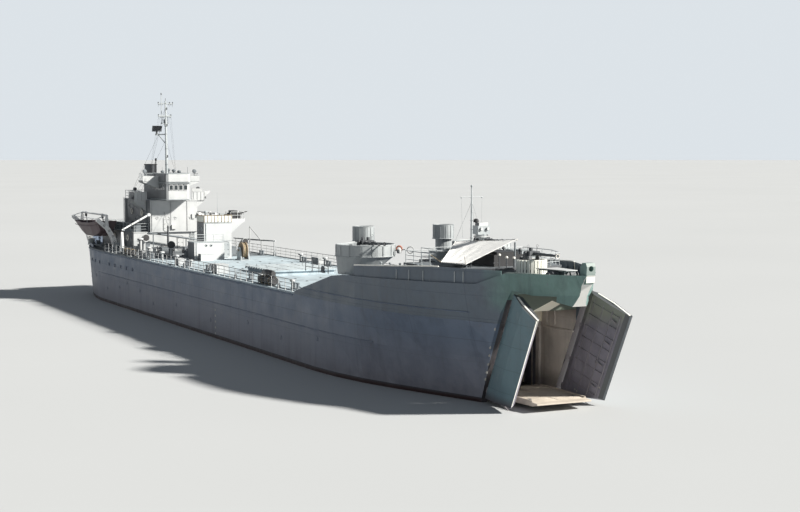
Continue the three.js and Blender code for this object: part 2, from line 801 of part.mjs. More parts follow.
// ---------------------------------------------------------------- under water
const SHAFT_Y = 3.6;
const PROP = { x: 6.9, z: -1.72, r: 0.95 };
const shaftLine = (s) =>
  join([
    bar(V(PROP.x + 0.35, s * SHAFT_Y, PROP.z), V(16.4, s * SHAFT_Y, -2.05), 0.16, 0.18, 10),
    bar(V(PROP.x + 0.4, s * SHAFT_Y, PROP.z), V(PROP.x + 1.3, s * SHAFT_Y, PROP.z - 0.04), 0.3, 0.3, 12),
    section(
      [
        [s * SHAFT_Y - 0.1, PROP.z],
        [s * SHAFT_Y + 0.1, PROP.z],
        [s * SHAFT_Y + 0.1 + s * 0.7, -0.68],
        [s * SHAFT_Y - 0.1 + s * 0.7, -0.68],
      ],
      PROP.x + 0.55,
      PROP.x + 1.15,
    ),
    section(
      [
        [s * SHAFT_Y - 0.1, PROP.z],
        [s * SHAFT_Y + 0.1, PROP.z],
        [s * SHAFT_Y + 0.1 - s * 0.7, -0.68],
        [s * SHAFT_Y - 0.1 - s * 0.7, -0.68],
      ],
      PROP.x + 0.55,
      PROP.x + 1.15,
    ),
  ]);
function propeller(s) {
  const y = s * SHAFT_Y,
    hub = bar(V(PROP.x - 0.35, y, PROP.z), V(PROP.x + 0.28, y, PROP.z), 0.16, 0.26, 12);
  const blades = [0, 1, 2, 3].map((i) => {
    const g = new THREE.BoxGeometry(0.1, 0.72, PROP.r - 0.1);
    g.rotateZ(s * 0.55);
    g.translate(0, 0, (PROP.r - 0.1) / 2 + 0.1);
    g.rotateX((i * Math.PI) / 2 + 0.4);
    g.translate(PROP.x, y, PROP.z);
    return solid(g);
  });
  const disc = bar(V(PROP.x - 0.6, y, PROP.z), V(PROP.x + 0.6, y, PROP.z), PROP.r, PROP.r, 24);
  return hub.add(join(blades).intersect(disc));
}
const RUDDER = { x: 4.0, z0: -2.55, z1: -0.62 };
function rudder(s) {
  const y = s * SHAFT_Y;
  return plan(
    [
      [RUDDER.x + 0.75, y],
      [RUDDER.x + 0.5, y + 0.13],
      [RUDDER.x - 0.2, y + 0.14],
      [RUDDER.x - 1.35, y + 0.03],
      [RUDDER.x - 1.35, y - 0.03],
      [RUDDER.x - 0.2, y - 0.14],
      [RUDDER.x + 0.5, y - 0.13],
    ],
    RUDDER.z0,
    RUDDER.z1,
  ).add(post(RUDDER.x, y, RUDDER.z1 - 0.1, -0.51, 0.13, 0.13, 10));
}
const bilgeKeel = () =>
  section(
    [
      [HALF_BEAM - 0.62, -2.42],
      [HALF_BEAM - 0.18, -2.72],
      [HALF_BEAM - 0.12, -2.64],
      [HALF_BEAM - 0.52, -2.3],
    ],
    34,
    76,
  );

// ---------------------------------------------------------------- stern and deck gear
const sternHouse = () =>
  join([
    box(2.6, 4.9, -2.4, 2.4, DECK + GAP, 8.6),
  ]);
const sternWinch = () =>
  join([
    box(1.2, 2.4, -1.0, 1.0, DECK + GAP, DECK + 0.15),
    bar(V(1.8, -0.8, 7.15), V(1.8, 0.8, 7.15), 0.42, 0.42, 16),
    box(1.45, 2.15, -0.95, -0.75, DECK + 0.1, 7.5),
    box(1.45, 2.15, 0.75, 0.95, DECK + 0.1, 7.5),
  ]);
const windlass = () =>
  join([
    box(111.9, 113.3, -1.1, 1.1, 9.36, 9.5),
    bar(V(112.6, -0.9, 9.85), V(112.6, 0.9, 9.85), 0.32, 0.32, 16),
    box(112.3, 112.9, -0.25, 0.25, 9.45, 10.2),
  ]);
const hatch = () =>
  join([
    box(56.0, 64.0, -3.2, 3.2, DECK + GAP, DECK + 0.45),
    box(55.8, 64.2, -3.4, 3.4, DECK + 0.42, DECK + 0.55),
  ]);
const engines = () => {
  const e = ENGINE_ROOM;
  return box(e.x0 + 1.5, e.x1 - 1.5, -2.6, 2.6, e.z0 + GAP, 0.0);
};
const tankDeck = () => {
  const e = GAP;
  const half = [
    [36 + e, 4.4 - e],
    [96, 4.4 - e],
    [104.5 - e, 2.95 - e],
    [104.5 - e, 2.7 - e],
    [104.9, 2.7 - e],
  ];
  return plan(bothSides(half), TANK_FLOOR - 0.3 + GAP, TANK_FLOOR);
};
const forwardDirector = () =>
  join([
    post(99.9, 0.4, 11.1 + GAP, 12.0, 0.22, 0.2, 10),
    post(99.9, 0.4, 11.95, 12.3, 0.42, 0.5, 12),
    box(99.45, 100.35, -0.15, 0.95, 12.25, 12.95),
  ]);

// ---------------------------------------------------------------- materials
const PAINT = {
  hull: [0x3f4650, 0.6],
  deck: [0x9a9da0, 0.8],
  fore: [0x4d6862, 0.6],
  house: [0xcfd3d4, 0.6],
  dark: [0x3b3f45, 0.7],
  white: [0xe6e6e2, 0.5],
  bottom: [0x6b3a33, 0.7],
  canvas: [0xe9e6dc, 0.95],
  wood: [0xa5855c, 0.85],
  bronze: [0x9b7a3f, 0.35, 0.9],
};
const root = new THREE.Group();
root.name = "tank_landing_ship";

// Full-size metres to model millimetres.
function toModel(name, s, paint) {
  const m = s.getMesh(),
    n = m.numProp,
    pos = new Float32Array(m.numVert * 3);
  for (let i = 0; i < m.numVert; i++) {
    pos[i * 3] = (m.vertProperties[i * n] - LENGTH / 2) * MM;
    pos[i * 3 + 1] = m.vertProperties[i * n + 1] * MM;
    pos[i * 3 + 2] = (m.vertProperties[i * n + 2] + DRAFT) * MM;
  }
  const g = new THREE.BufferGeometry();
  g.setAttribute("position", new THREE.BufferAttribute(pos, 3));
  g.setIndex(new THREE.BufferAttribute(new Uint32Array(m.triVerts), 1));
  const [color, roughness, metalness = 0] = PAINT[paint];
  const mesh = new THREE.Mesh(g, new THREE.MeshStandardMaterial({ color, roughness, metalness }));
  mesh.name = name;
  root.add(mesh);
}

const PIECES = [
  // node, solid, paint
  ["hull", hullSolid(), "hull"],
  ["tank_deck", tankDeck(), "deck"],
  ["engine_block", engines(), "dark"],
  ["main_deck", mainDeckSolid(), "deck"],
  ["forecastle", forecastleSolid(), "fore"],
  ["bow_ramp", rampSolid(), "dark"],
  ["port_bow_door", doorSolid(), "hull"],
  ["starboard_bow_door", mirror(doorSolid()), "hull"],
  ["port_gun_tub", gunTub(), "house"],
  ["starboard_gun_tub", mirror(gunTub()), "house"],
  ["port_director_tub", directorTub(), "house"],
  ["starboard_director_tub", mirror(directorTub()), "house"],
  ["bow_gun_tub", tub(BOW_TUB).add(post(BOW_TUB.x, 0, 9.15, BOW_TUB.floor - 0.05, 0.85, 0.85, 24)), "house"],
  ["bow_gun_carriage", mountBase(BOW_GUN), "dark"],
  ["bow_gun_barrel", cradle(BOW_GUN, 3.5, 0.09, [0]), "dark"],
  ["port_gun_carriage", mountBase(TWIN), "dark"],
  ["port_gun_barrels", cradle(TWIN, 2.9, 0.05, [-0.25, 0.25]), "dark"],
  ["starboard_gun_carriage", mountBase({ ...TWIN, y: -TWIN.y }), "dark"],
  ["starboard_gun_barrels", cradle({ ...TWIN, y: -TWIN.y }, 2.9, 0.05, [-0.25, 0.25]), "dark"],
  ["gun_platform", platformSolid(), "house"],
  ["forward_house", forwardHouse(), "dark"],
  ["awning", awningSolid(), "canvas"],
  ["signal_mast", signalMast(), "house"],
  ["forward_director", forwardDirector(), "house"],
  ["anchor_windlass", windlass(), "dark"],
  ["deck_hatch", hatch(), "deck"],
  ["amidships_house", forwardBlock(), "white"],
  ["reel_stand", reelStand(), "house"],
  ["hawser_reel", reelSolid(), "wood"],
  ["main_house", mainHouse(), "white"],
  ["pilot_house", pilotHouse(), "white"],
  ["flying_bridge", flyingBridge(), "white"],
  ["funnel", funnelSolid(), "dark"],
  ["mast", mastSolid(), "house"],
  ["radar_antenna", radarSolid(), "dark"],
  ["starboard_davit_base", davitFeet(), "white"],
  ["port_davit_base", mirror(davitFeet()), "white"],
  ["starboard_davits", davitArms(), "white"],
  ["port_davits", mirror(davitArms()), "white"],
  ["starboard_boat", boatSolid(), "hull"],
  ["port_boat", mirror(boatSolid()), "hull"],
  ["starboard_boom", boomSolid(), "white"],
  ["port_boom", mirror(boomSolid()), "white"],
  ["starboard_boom_post", boomPost(), "white"],
  ["port_boom_post", mirror(boomPost()), "white"],
  ["stern_house", sternHouse(), "house"],
  ["stern_anchor_winch", sternWinch(), "dark"],
  ["starboard_shaft", shaftLine(-1), "bottom"],
  ["port_shaft", shaftLine(1), "bottom"],
  ["starboard_propeller", propeller(-1), "bronze"],
  ["port_propeller", propeller(1), "bronze"],
  ["starboard_rudder", rudder(-1), "bottom"],
  ["port_rudder", rudder(1), "bottom"],
  ["starboard_bilge_keel", mirror(bilgeKeel()), "bottom"],
  ["port_bilge_keel", bilgeKeel(), "bottom"],
];
// Pieces that end on the hull's plating are cut back to it.
const ON_HULL = ["shaft", "bilge_keel"];
const hullBody = PIECES[0][1];
for (const piece of PIECES)
  if (ON_HULL.some((word) => piece[0].endsWith(word)))
    for (const [y, z] of [[0, -1], [0, 1], [-1, 0], [1, 0]])
      piece[1] = piece[1].subtract(hullBody.translate([0, y * GAP, z * GAP]));
for (const [name, s, paint] of PIECES) toModel(name, s, paint);

export default root;
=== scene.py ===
import math
import random

import bmesh
import bpy
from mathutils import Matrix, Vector
from mathutils.bvhtree import BVHTree


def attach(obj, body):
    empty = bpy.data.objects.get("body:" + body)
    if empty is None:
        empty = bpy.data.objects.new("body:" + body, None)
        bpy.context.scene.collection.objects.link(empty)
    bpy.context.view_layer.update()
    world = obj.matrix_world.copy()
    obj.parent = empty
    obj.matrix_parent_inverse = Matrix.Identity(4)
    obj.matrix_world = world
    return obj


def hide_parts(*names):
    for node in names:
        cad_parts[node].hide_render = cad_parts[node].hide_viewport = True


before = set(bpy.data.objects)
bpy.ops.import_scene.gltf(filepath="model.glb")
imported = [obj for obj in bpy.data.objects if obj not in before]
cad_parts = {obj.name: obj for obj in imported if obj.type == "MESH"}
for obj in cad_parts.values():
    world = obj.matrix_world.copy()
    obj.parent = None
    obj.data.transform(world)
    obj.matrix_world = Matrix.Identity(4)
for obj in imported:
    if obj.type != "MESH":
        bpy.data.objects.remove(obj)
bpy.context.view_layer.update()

# Lengths below are full-size metres: X from the stern to the stem, Y to port, Z above the
# waterline. P() turns them into the 1:10 model's frame.
LENGTH, DRAFT, DECK = 116.4, 2.8, 6.44
WATER = DRAFT / 10


def P(x, y, z):
    return Vector(((x - LENGTH / 2) / 10, y / 10, (z + DRAFT) / 10))


scene = bpy.context.scene

# ------------------------------------------------------------------ camera
cam_data = bpy.data.cameras.new("camera")
cam_data.lens = 67.5
cam_data.sensor_width = 36.0
cam_data.sensor_fit = "HORIZONTAL"
cam_data.clip_start = 0.1
cam_data.clip_end = 2000
camera = bpy.data.objects.new("camera", cam_data)
scene.collection.objects.link(camera)
yaw, pitch = math.radians(26.04), math.radians(3.81)
look = Vector((-math.cos(yaw) * math.cos(pitch), math.sin(yaw) * math.cos(pitch), -math.sin(pitch)))
camera.location = P(204.57, -57.98, 18.48)
camera.rotation_euler = look.to_track_quat("-Z", "Y").to_euler()
scene.camera = camera


# ------------------------------------------------------------------ materials
class Nodes:
    """A small helper that wires a node material."""

    def __init__(self, name):
        self.mat = bpy.data.materials.new(name)
        self.mat.use_nodes = True
        self.t = self.mat.node_tree
        self.bsdf = self.t.nodes["Principled BSDF"]
        self.coord = self.t.nodes.new("ShaderNodeTexCoord").outputs["Object"]

    def new(self, kind, **props):
        n = self.t.nodes.new(kind)
        for k, v in props.items():
            setattr(n, k, v)
        return n

    def link(self, a, b):
        self.t.links.new(a, b)
        return b

    def mapping(self, scale, rot=(0, 0, 0), loc=(0, 0, 0), source=None):
        m = self.new("ShaderNodeMapping")
        m.inputs["Scale"].default_value = scale
        m.inputs["Rotation"].default_value = rot
        m.inputs["Location"].default_value = loc
        self.link(source or self.coord, m.inputs["Vector"])
        return m.outputs["Vector"]

    def noise(self, scale, detail=4.0, rough=0.6, vector=None, distortion=0.0):
        n = self.new("ShaderNodeTexNoise")
        n.inputs["Scale"].default_value = scale
        n.inputs["Detail"].default_value = detail
        n.inputs["Roughness"].default_value = rough
        n.inputs["Distortion"].default_value = distortion
        self.link(vector or self.coord, n.inputs["Vector"])
        return n.outputs["Fac"]

    def ramp(self, fac, stops):
        r = self.new("ShaderNodeValToRGB")
        e = r.color_ramp.elements
        while len(e) > len(stops):
            e.remove(e[-1])
        while len(e) < len(stops):
            e.new(1.0)
        for k, (pos, col) in enumerate(stops):
            e[k].position = pos
            c = (col, col, col) if isinstance(col, (int, float)) else col
            e[k].color = (*c, 1.0)
        self.link(fac, r.inputs["Fac"])
        return r.outputs["Color"]

    def mix(self, fac, a, b, blend="MIX"):
        m = self.new("ShaderNodeMix", data_type="RGBA", blend_type=blend)
        for value, socket in ((fac, m.inputs[0]), (a, m.inputs[6]), (b, m.inputs[7])):
            if isinstance(value, (int, float)):
                socket.default_value = value
            elif isinstance(value, tuple):
                socket.default_value = (*value, 1.0)
            else:
                self.link(value, socket)
        return m.outputs[2]

    def math(self, op, a, b=0.0, clamp=False):
        m = self.new("ShaderNodeMath", operation=op, use_clamp=clamp)
        for value, socket in ((a, m.inputs[0]), (b, m.inputs[1])):
            if isinstance(value, (int, float)):
                socket.default_value = value
            else:
                self.link(value, socket)
        return m.outputs[0]

    def axis(self, which):
        s = self.new("ShaderNodeSeparateXYZ")
        self.link(self.coord, s.inputs[0])
        return s.outputs[which]

    def grid(self, which, period, width, offset=0.0):
        """1 on thin lines across an axis, each period metres of the model."""
        v = self.math("DIVIDE", self.math("ADD", self.axis(which), 100.0 + offset), period)
        v = self.math("FRACT", v)
        v = self.math("ABSOLUTE", self.math("SUBTRACT", v, 0.5))
        return self.math("GREATER_THAN", v, 0.5 - width / period / 2)

    def bump(self, height, strength, distance, normal=None):
        b = self.new("ShaderNodeBump")
        b.inputs["Strength"].default_value = strength
        b.inputs["Distance"].default_value = distance
        self.link(height, b.inputs["Height"])
        if normal is not None:
            self.link(normal, b.inputs["Normal"])
        return b.outputs["Normal"]


def painted(
    name,
    base,
    light=None,
    dark=None,
    rust=0.25,
    rough=0.5,
    streak=0.4,
    seams=0.0,
    patch=0.5,
    wet=None,
    corner_shade=0.35,
    metal=0.0,
    zones=None,
):
    """Ship's paint: mottled, streaked downwards, rust showing along edges and in spots."""
    n = Nodes(name)
    light = light or tuple(min(1, c * 1.22 + 0.01) for c in base)
    dark = dark or tuple(c * 0.72 for c in base)
    big = n.noise(0.9, 5, 0.62)
    mid = n.noise(7.0, 5, 0.6)
    fine = n.noise(60.0, 3, 0.6)
    colour = n.mix(n.ramp(big, [(0.36, 0.0), (0.64, 1.0)]), dark, light)
    colour = n.mix(n.ramp(mid, [(0.35, 0.0), (0.7, patch)]), colour, base)
    # streaks run down the plating
    down = n.mapping((9.0, 9.0, 0.55))
    streaks = n.noise(1.0, 6, 0.68, down, 0.3)
    fall = n.ramp(streaks, [(0.5, 0.0), (0.74, streak)])
    colour = n.mix(fall, colour, tuple(c * 0.55 for c in base))
    pale = n.noise(1.0, 5, 0.7, n.mapping((14.0, 14.0, 0.8), loc=(3, 1, 2)), 0.2)
    colour = n.mix(n.ramp(pale, [(0.57, 0.0), (0.8, streak * 0.6)]), colour, light)
    # rust: blotches that follow the streaks
    spots = n.noise(22.0, 6, 0.7)
    rusty = n.math("MULTIPLY", n.ramp(spots, [(0.6, 0.0), (0.72, 1.0)]), n.ramp(streaks, [(0.42, 0.0), (0.62, 1.0)]))
    rusty = n.math("MULTIPLY", rusty, rust)
    colour = n.mix(rusty, colour, (0.16, 0.06, 0.025))
    # wear where the surface turns
    point = n.new("ShaderNodeNewGeometry").outputs["Pointiness"]
    edge = n.ramp(point, [(0.505, 0.0), (0.56, 0.5)])
    colour = n.mix(n.math("MULTIPLY", edge, n.ramp(mid, [(0.4, 0.2), (0.6, 1.0)])), colour, light)
    if corner_shade:
        # painted shade: darker in corners and hollows, where pointiness is low
        corner_shade_mask = n.ramp(point, [(0.44, corner_shade), (0.495, 0.0)])
        colour = n.mix(corner_shade_mask, colour, tuple(c * 0.35 for c in base))
    height = n.math("MULTIPLY", fine, 0.25)
    height = n.math("ADD", height, n.math("MULTIPLY", mid, 0.6))
    if seams:
        # plating: butts and long seams
        lines = n.math("MAXIMUM", n.grid(0, 0.61, 0.006), n.grid(2, 0.172, 0.005, 0.03))
        colour = n.mix(n.math("MULTIPLY", lines, 0.45), colour, tuple(c * 0.5 for c in base))
        height = n.math("SUBTRACT", height, n.math("MULTIPLY", lines, seams))
        # panels dished between frames
        frames = n.math("SINE", n.math("MULTIPLY", n.axis(0), 2 * math.pi / 0.076))
        height = n.math("ADD", height, n.math("MULTIPLY", frames, 0.12))
    if wet:
        # the band along the waterline: z, colour
        wobble = n.math("MULTIPLY", n.math("SUBTRACT", n.noise(3.0, 4, 0.6), 0.5), 0.012)
        z = n.math("ADD", n.axis(2), wobble)
        for level, soft, tone in wet:
            f = n.new("ShaderNodeMapRange")
            f.inputs["From Min"].default_value = level - soft
            f.inputs["From Max"].default_value = level + soft
            f.inputs["To Min"].default_value = 1.0
            f.inputs["To Max"].default_value = 0.0
            n.link(z, f.inputs["Value"])
            shade = n.mix(n.ramp(streaks, [(0.4, 0.0), (0.7, 0.6)]), tone, tuple(c * 0.6 for c in tone))
            colour = n.mix(f.outputs[0], colour, shade)
    for zone in zones or ():
        colour = zone(n, colour, mid, streaks)
    n.link(colour, n.bsdf.inputs["Base Color"])
    r = n.ramp(mid, [(0.3, max(0.05, rough - 0.12)), (0.7, min(1.0, rough + 0.14))])
    n.link(r, n.bsdf.inputs["Roughness"])
    n.bsdf.inputs["Metallic"].default_value = metal
    n.link(n.bump(height, 0.35, 0.004), n.bsdf.inputs["Normal"])
    return n.mat


def rise(n, value, low, high):
    """0 below low, 1 above high."""
    f = n.new("ShaderNodeMapRange")
    f.inputs["From Min"].default_value = low
    f.inputs["From Max"].default_value = high
    n.link(value, f.inputs["Value"])
    return f.outputs[0]


def facing(n, k):
    """One component of the piece's own normal."""
    s = n.new("ShaderNodeSeparateXYZ")
    n.link(n.coord.node.outputs["Normal"], s.inputs[0])
    return s.outputs[k]


def every(n, *tests):
    """1 where all the tests hold. A test is (what, "GREATER_THAN" or "LESS_THAN", limit)."""
    total = None
    for value, kind, limit in tests:
        t = n.math(kind, value, limit)
        total = t if total is None else n.math("MULTIPLY", total, t)
    return total


def well_zone(n, colour, mid, streaks):
    """The brown-grey inside of the bow, between its two walls and under its roof, kept light as painted light for the
    light reflected in from outside, with streaks.
    """
    x, y, z = n.axis(0), n.axis(1), n.axis(2)
    wide = n.math("ABSOLUTE", y)
    inside = every(n, (wide, "LESS_THAN", 0.2985), (x, "GREATER_THAN", 4.632), (x, "LESS_THAN", 5.176), (z, "LESS_THAN", 1.1315))
    jamb = every(n, (wide, "GREATER_THAN", 0.29), (wide, "LESS_THAN", 0.365), (x, "GREATER_THAN", 4.7), (z, "LESS_THAN", 1.09), (facing(n, 0), "GREATER_THAN", 0.6))
    inside = n.math("MAXIMUM", inside, jamb)
    worn_and_painted_light = n.mix(n.ramp(mid, [(0.35, 0.0), (0.68, 1.0)]), (0.5, 0.46, 0.42), (0.7, 0.65, 0.59))
    worn_and_painted_light = n.mix(n.ramp(streaks, [(0.46, 0.0), (0.7, 0.7)]), worn_and_painted_light, (0.34, 0.29, 0.25))
    # a paler upright strip near the edge of each wall, a painted highlight, and painted shade on the plating towards
    # the roof
    strip = n.math("MULTIPLY", rise(n, x, 4.83, 4.89), n.math("SUBTRACT", 1.0, rise(n, x, 5.0, 5.05)))
    worn_and_painted_light = n.mix(n.math("MULTIPLY", strip, 0.6), worn_and_painted_light, (0.8, 0.74, 0.67))
    worn_and_painted_light = n.mix(n.math("MULTIPLY", rise(n, z, 0.9, 0.97), 0.7), worn_and_painted_light, (0.2, 0.17, 0.15))
    low = n.math("SUBTRACT", 1.0, rise(n, z, WATER + 0.12, WATER + 0.22))
    worn_and_painted_light = n.mix(n.math("MULTIPLY", low, 0.75), worn_and_painted_light, (0.2, 0.18, 0.165))
    # a jamb is darker than the walls
    worn_and_painted_light = n.mix(n.math("MULTIPLY", jamb, 0.97), worn_and_painted_light, (0.058, 0.054, 0.06))
    colour = n.mix(inside, colour, worn_and_painted_light)
    # painted sunlight: the cream patch on the transverse plating under the overhang, and the same cream on the plating
    # further aft
    front = every(n, (x, "GREATER_THAN", 5.17), (x, "LESS_THAN", 5.19), (y, "GREATER_THAN", -0.112), (y, "LESS_THAN", 0.155))
    top = n.math("MINIMUM", n.math("ADD", 1.0254, n.math("MULTIPLY", y, 0.423)), n.math("ADD", 1.09, n.math("MULTIPLY", y, -0.4)))
    foot = n.math("ADD", 0.96, n.math("MULTIPLY", y, 0.477))
    front = n.math("MULTIPLY", front, n.math("MULTIPLY", n.math("LESS_THAN", z, top), n.math("GREATER_THAN", z, foot)))
    back = every(n, (x, "GREATER_THAN", 4.67), (x, "LESS_THAN", 4.69), (y, "GREATER_THAN", 0.15), (z, "GREATER_THAN", 0.845))
    return n.mix(n.math("MAXIMUM", front, back), colour, (0.96, 0.9, 0.74))


def fore_zone(n, colour, mid, streaks):
    """Dark slate aft and low down, turning to a paler grey-green towards the stem; painted shade under the overhang and
    on the plating behind the doors, and a painted highlight on the stem's face.
    """
    x, y, z = n.axis(0), n.axis(1), n.axis(2)
    pale = n.mix(n.ramp(mid, [(0.35, 0.0), (0.68, 1.0)]), (0.105, 0.185, 0.172), (0.15, 0.25, 0.232))
    pale = n.mix(n.ramp(streaks, [(0.48, 0.0), (0.72, 0.65)]), pale, (0.07, 0.105, 0.103))
    across = n.math("ADD", x, n.math("MULTIPLY", n.math("SUBTRACT", mid, 0.5), 0.2))
    amount = n.math("MULTIPLY", rise(n, across, 5.05, 5.27), rise(n, z, 0.98, 1.08))
    colour = n.mix(amount, colour, pale)
    # painted shade: the underside of the overhang is painted dark
    under = every(n, (facing(n, 2), "LESS_THAN", -0.5), (x, "LESS_THAN", 5.6))
    colour = n.mix(under, colour, (0.1, 0.125, 0.112))
    # painted shade: the forward face of the transverse plating under the overhang is painted dark olive
    back = every(n, (x, "GREATER_THAN", 5.176), (x, "LESS_THAN", 5.19), (facing(n, 0), "GREATER_THAN", 0.9))
    colour = n.mix(back, colour, n.mix(mid, (0.1, 0.125, 0.1), (0.15, 0.175, 0.14)))
    # painted highlight: the stem's forward face is painted pale
    stem = every(n, (x, "GREATER_THAN", 5.645), (n.math("ABSOLUTE", y), "LESS_THAN", 0.07), (facing(n, 0), "GREATER_THAN", 0.75))
    colour = n.mix(stem, colour, (0.6, 0.6, 0.575))
    # the chock on the stem head is left a duller grey-green, without the painted highlight
    return n.mix(n.math("MULTIPLY", stem, n.math("GREATER_THAN", z, 1.294)), colour, (0.2, 0.245, 0.232))


def door_zone(n, colour, mid, streaks):
    """The doors' inner faces: dark purple-grey, kept light as painted light in their shade, olive towards the top."""
    z = n.axis(2)
    within = n.math("LESS_THAN", n.math("MULTIPLY", facing(n, 1), n.axis(1)), -0.09)
    worn_and_painted_light = n.mix(n.ramp(mid, [(0.35, 0.0), (0.68, 1.0)]), (0.185, 0.178, 0.215), (0.265, 0.255, 0.3))
    worn_and_painted_light = n.mix(n.ramp(streaks, [(0.5, 0.0), (0.74, 0.6)]), worn_and_painted_light, (0.13, 0.12, 0.135))
    olive = n.mix(mid, (0.2, 0.215, 0.175), (0.29, 0.3, 0.245))
    worn_and_painted_light = n.mix(n.math("MULTIPLY", rise(n, n.math("ADD", z, n.math("MULTIPLY", mid, 0.08)), 0.9, 1.02), 0.85), worn_and_painted_light, olive)
    colour = n.mix(within, colour, worn_and_painted_light)
    # the top and the leading face are dull
    rim = n.math("MAXIMUM", n.math("GREATER_THAN", facing(n, 2), 0.7), n.math("MULTIPLY", n.math("GREATER_THAN", facing(n, 0), 0.7), n.math("GREATER_THAN", n.axis(1), 0.0)))
    return n.mix(rim, colour, (0.075, 0.08, 0.085))


def side_zone(n, colour, mid, streaks):
    """The hull's side, paler and more purple low down: painted light lifting the shade there, with streaks."""
    low = n.math("SUBTRACT", 1.0, rise(n, n.math("ADD", n.axis(2), n.math("MULTIPLY", mid, 0.1)), 0.42, 0.85))
    above = n.math("GREATER_THAN", n.axis(2), WATER + 0.04)
    worn_and_painted_light = n.mix(n.ramp(mid, [(0.35, 0.0), (0.68, 1.0)]), (0.2, 0.2, 0.235), (0.29, 0.287, 0.325))
    worn_and_painted_light = n.mix(n.ramp(streaks, [(0.48, 0.0), (0.74, 0.7)]), worn_and_painted_light, (0.16, 0.148, 0.165))
    return n.mix(n.math("MULTIPLY", n.math("MULTIPLY", low, above), 0.85), colour, worn_and_painted_light)


def flank_zone(n, colour, mid, streaks):
    """Painted shade: the houses' sides, and every face of this paint turned across the ship, are painted a darker grey
    than their fronts.
    """
    side = n.math("GREATER_THAN", n.math("ABSOLUTE", facing(n, 1)), 0.6)
    worn_and_painted_light = n.mix(n.ramp(mid, [(0.35, 0.0), (0.68, 1.0)]), (0.07, 0.077, 0.086), (0.115, 0.122, 0.132))
    worn_and_painted_light = n.mix(n.ramp(streaks, [(0.48, 0.0), (0.74, 0.6)]), worn_and_painted_light, (0.05, 0.052, 0.056))
    return n.mix(n.math("MULTIPLY", side, 0.92), colour, worn_and_painted_light)


def deck_material(name, base, dark, tie=True, shade_by_houses=False):
    """Worn deck paint: scuffed, patchy, with rows of tie-down cups."""
    n = Nodes(name)
    big = n.noise(1.3, 6, 0.65)
    mid = n.noise(9.0, 5, 0.65)
    fine = n.noise(140.0, 2, 0.6)
    colour = n.mix(n.ramp(big, [(0.38, 0.0), (0.62, 1.0)]), dark, base)
    colour = n.mix(n.ramp(mid, [(0.42, 0.0), (0.62, 0.55)]), colour, tuple(min(1, c * 1.3) for c in base))
    tracks = n.noise(1.0, 5, 0.7, n.mapping((0.7, 7.0, 1.0)), 0.4)
    colour = n.mix(n.ramp(tracks, [(0.52, 0.0), (0.7, 0.5)]), colour, tuple(c * 0.6 for c in dark))
    spots = n.noise(26.0, 5, 0.7)
    colour = n.mix(n.ramp(spots, [(0.62, 0.0), (0.74, 0.45)]), colour, (0.2, 0.1, 0.05))
    height = n.math("MULTIPLY", fine, 0.5)
    lines = n.math("MAXIMUM", n.grid(0, 0.61, 0.006), n.grid(1, 0.24, 0.005, 0.02))
    colour = n.mix(n.math("MULTIPLY", lines, 0.35), colour, tuple(c * 0.6 for c in dark))
    height = n.math("ADD", height, lines)
    if tie:
        v = n.new("ShaderNodeTexVoronoi", feature="F1")
        v.inputs["Scale"].default_value = 8.0
        v.inputs["Randomness"].default_value = 0.0
        n.link(n.coord, v.inputs["Vector"])
        cup = n.ramp(v.outputs["Distance"], [(0.1, 1.0), (0.13, 0.0)])
        colour = n.mix(cup, colour, tuple(c * 0.35 for c in dark))
        height = n.math("SUBTRACT", height, cup)
    if shade_by_houses:
        # painted shade: the deck by the houses is painted dark
        x = n.math("ADD", n.axis(0), n.math("MULTIPLY", n.math("SUBTRACT", mid, 0.5), 0.12))
        house_shade_amount = n.math("MULTIPLY", n.math("SUBTRACT", 1.0, rise(n, x, -2.5, -2.38)), 0.82)
        colour = n.mix(house_shade_amount, colour, n.mix(mid, (0.075, 0.08, 0.086), (0.15, 0.158, 0.165)))
    n.link(colour, n.bsdf.inputs["Base Color"])
    n.link(n.ramp(mid, [(0.3, 0.7), (0.7, 0.92)]), n.bsdf.inputs["Roughness"])
    n.link(n.bump(height, 0.3, 0.003), n.bsdf.inputs["Normal"])
    return n.mat


def canvas_material(name, base, stain):
    n = Nodes(name)
    warp = n.new("ShaderNodeTexWave", wave_type="BANDS", bands_direction="X")
    warp.inputs["Scale"].default_value = 120.0
    n.link(n.coord, warp.inputs["Vector"])
    weft = n.new("ShaderNodeTexWave", wave_type="BANDS", bands_direction="Y")
    weft.inputs["Scale"].default_value = 120.0
    n.link(n.coord, weft.inputs["Vector"])
    weave = n.math("ADD", warp.outputs["Fac"], weft.outputs["Fac"])
    big = n.noise(2.2, 5, 0.6)
    mid = n.noise(11.0, 5, 0.65)
    colour = n.mix(n.ramp(big, [(0.42, 0.0), (0.7, 0.75)]), base, stain)
    colour = n.mix(n.ramp(mid, [(0.5, 0.0), (0.75, 0.35)]), colour, tuple(c * 0.75 for c in stain))
    # sewn seams between the widths of cloth
    seam = n.grid(0, 0.17, 0.006)
    colour = n.mix(n.math("MULTIPLY", seam, 0.5), colour, tuple(c * 0.7 for c in base))
    height = n.math("ADD", n.math("MULTIPLY", weave, 0.12), n.math("MULTIPLY", mid, 1.1))
    height = n.math("ADD", height, n.math("MULTIPLY", seam, 0.8))
    n.link(colour, n.bsdf.inputs["Base Color"])
    n.bsdf.inputs["Roughness"].default_value = 0.9
    n.bsdf.inputs["Sheen Weight"].default_value = 0.15
    n.link(n.bump(height, 0.4, 0.006), n.bsdf.inputs["Normal"])
    return n.mat


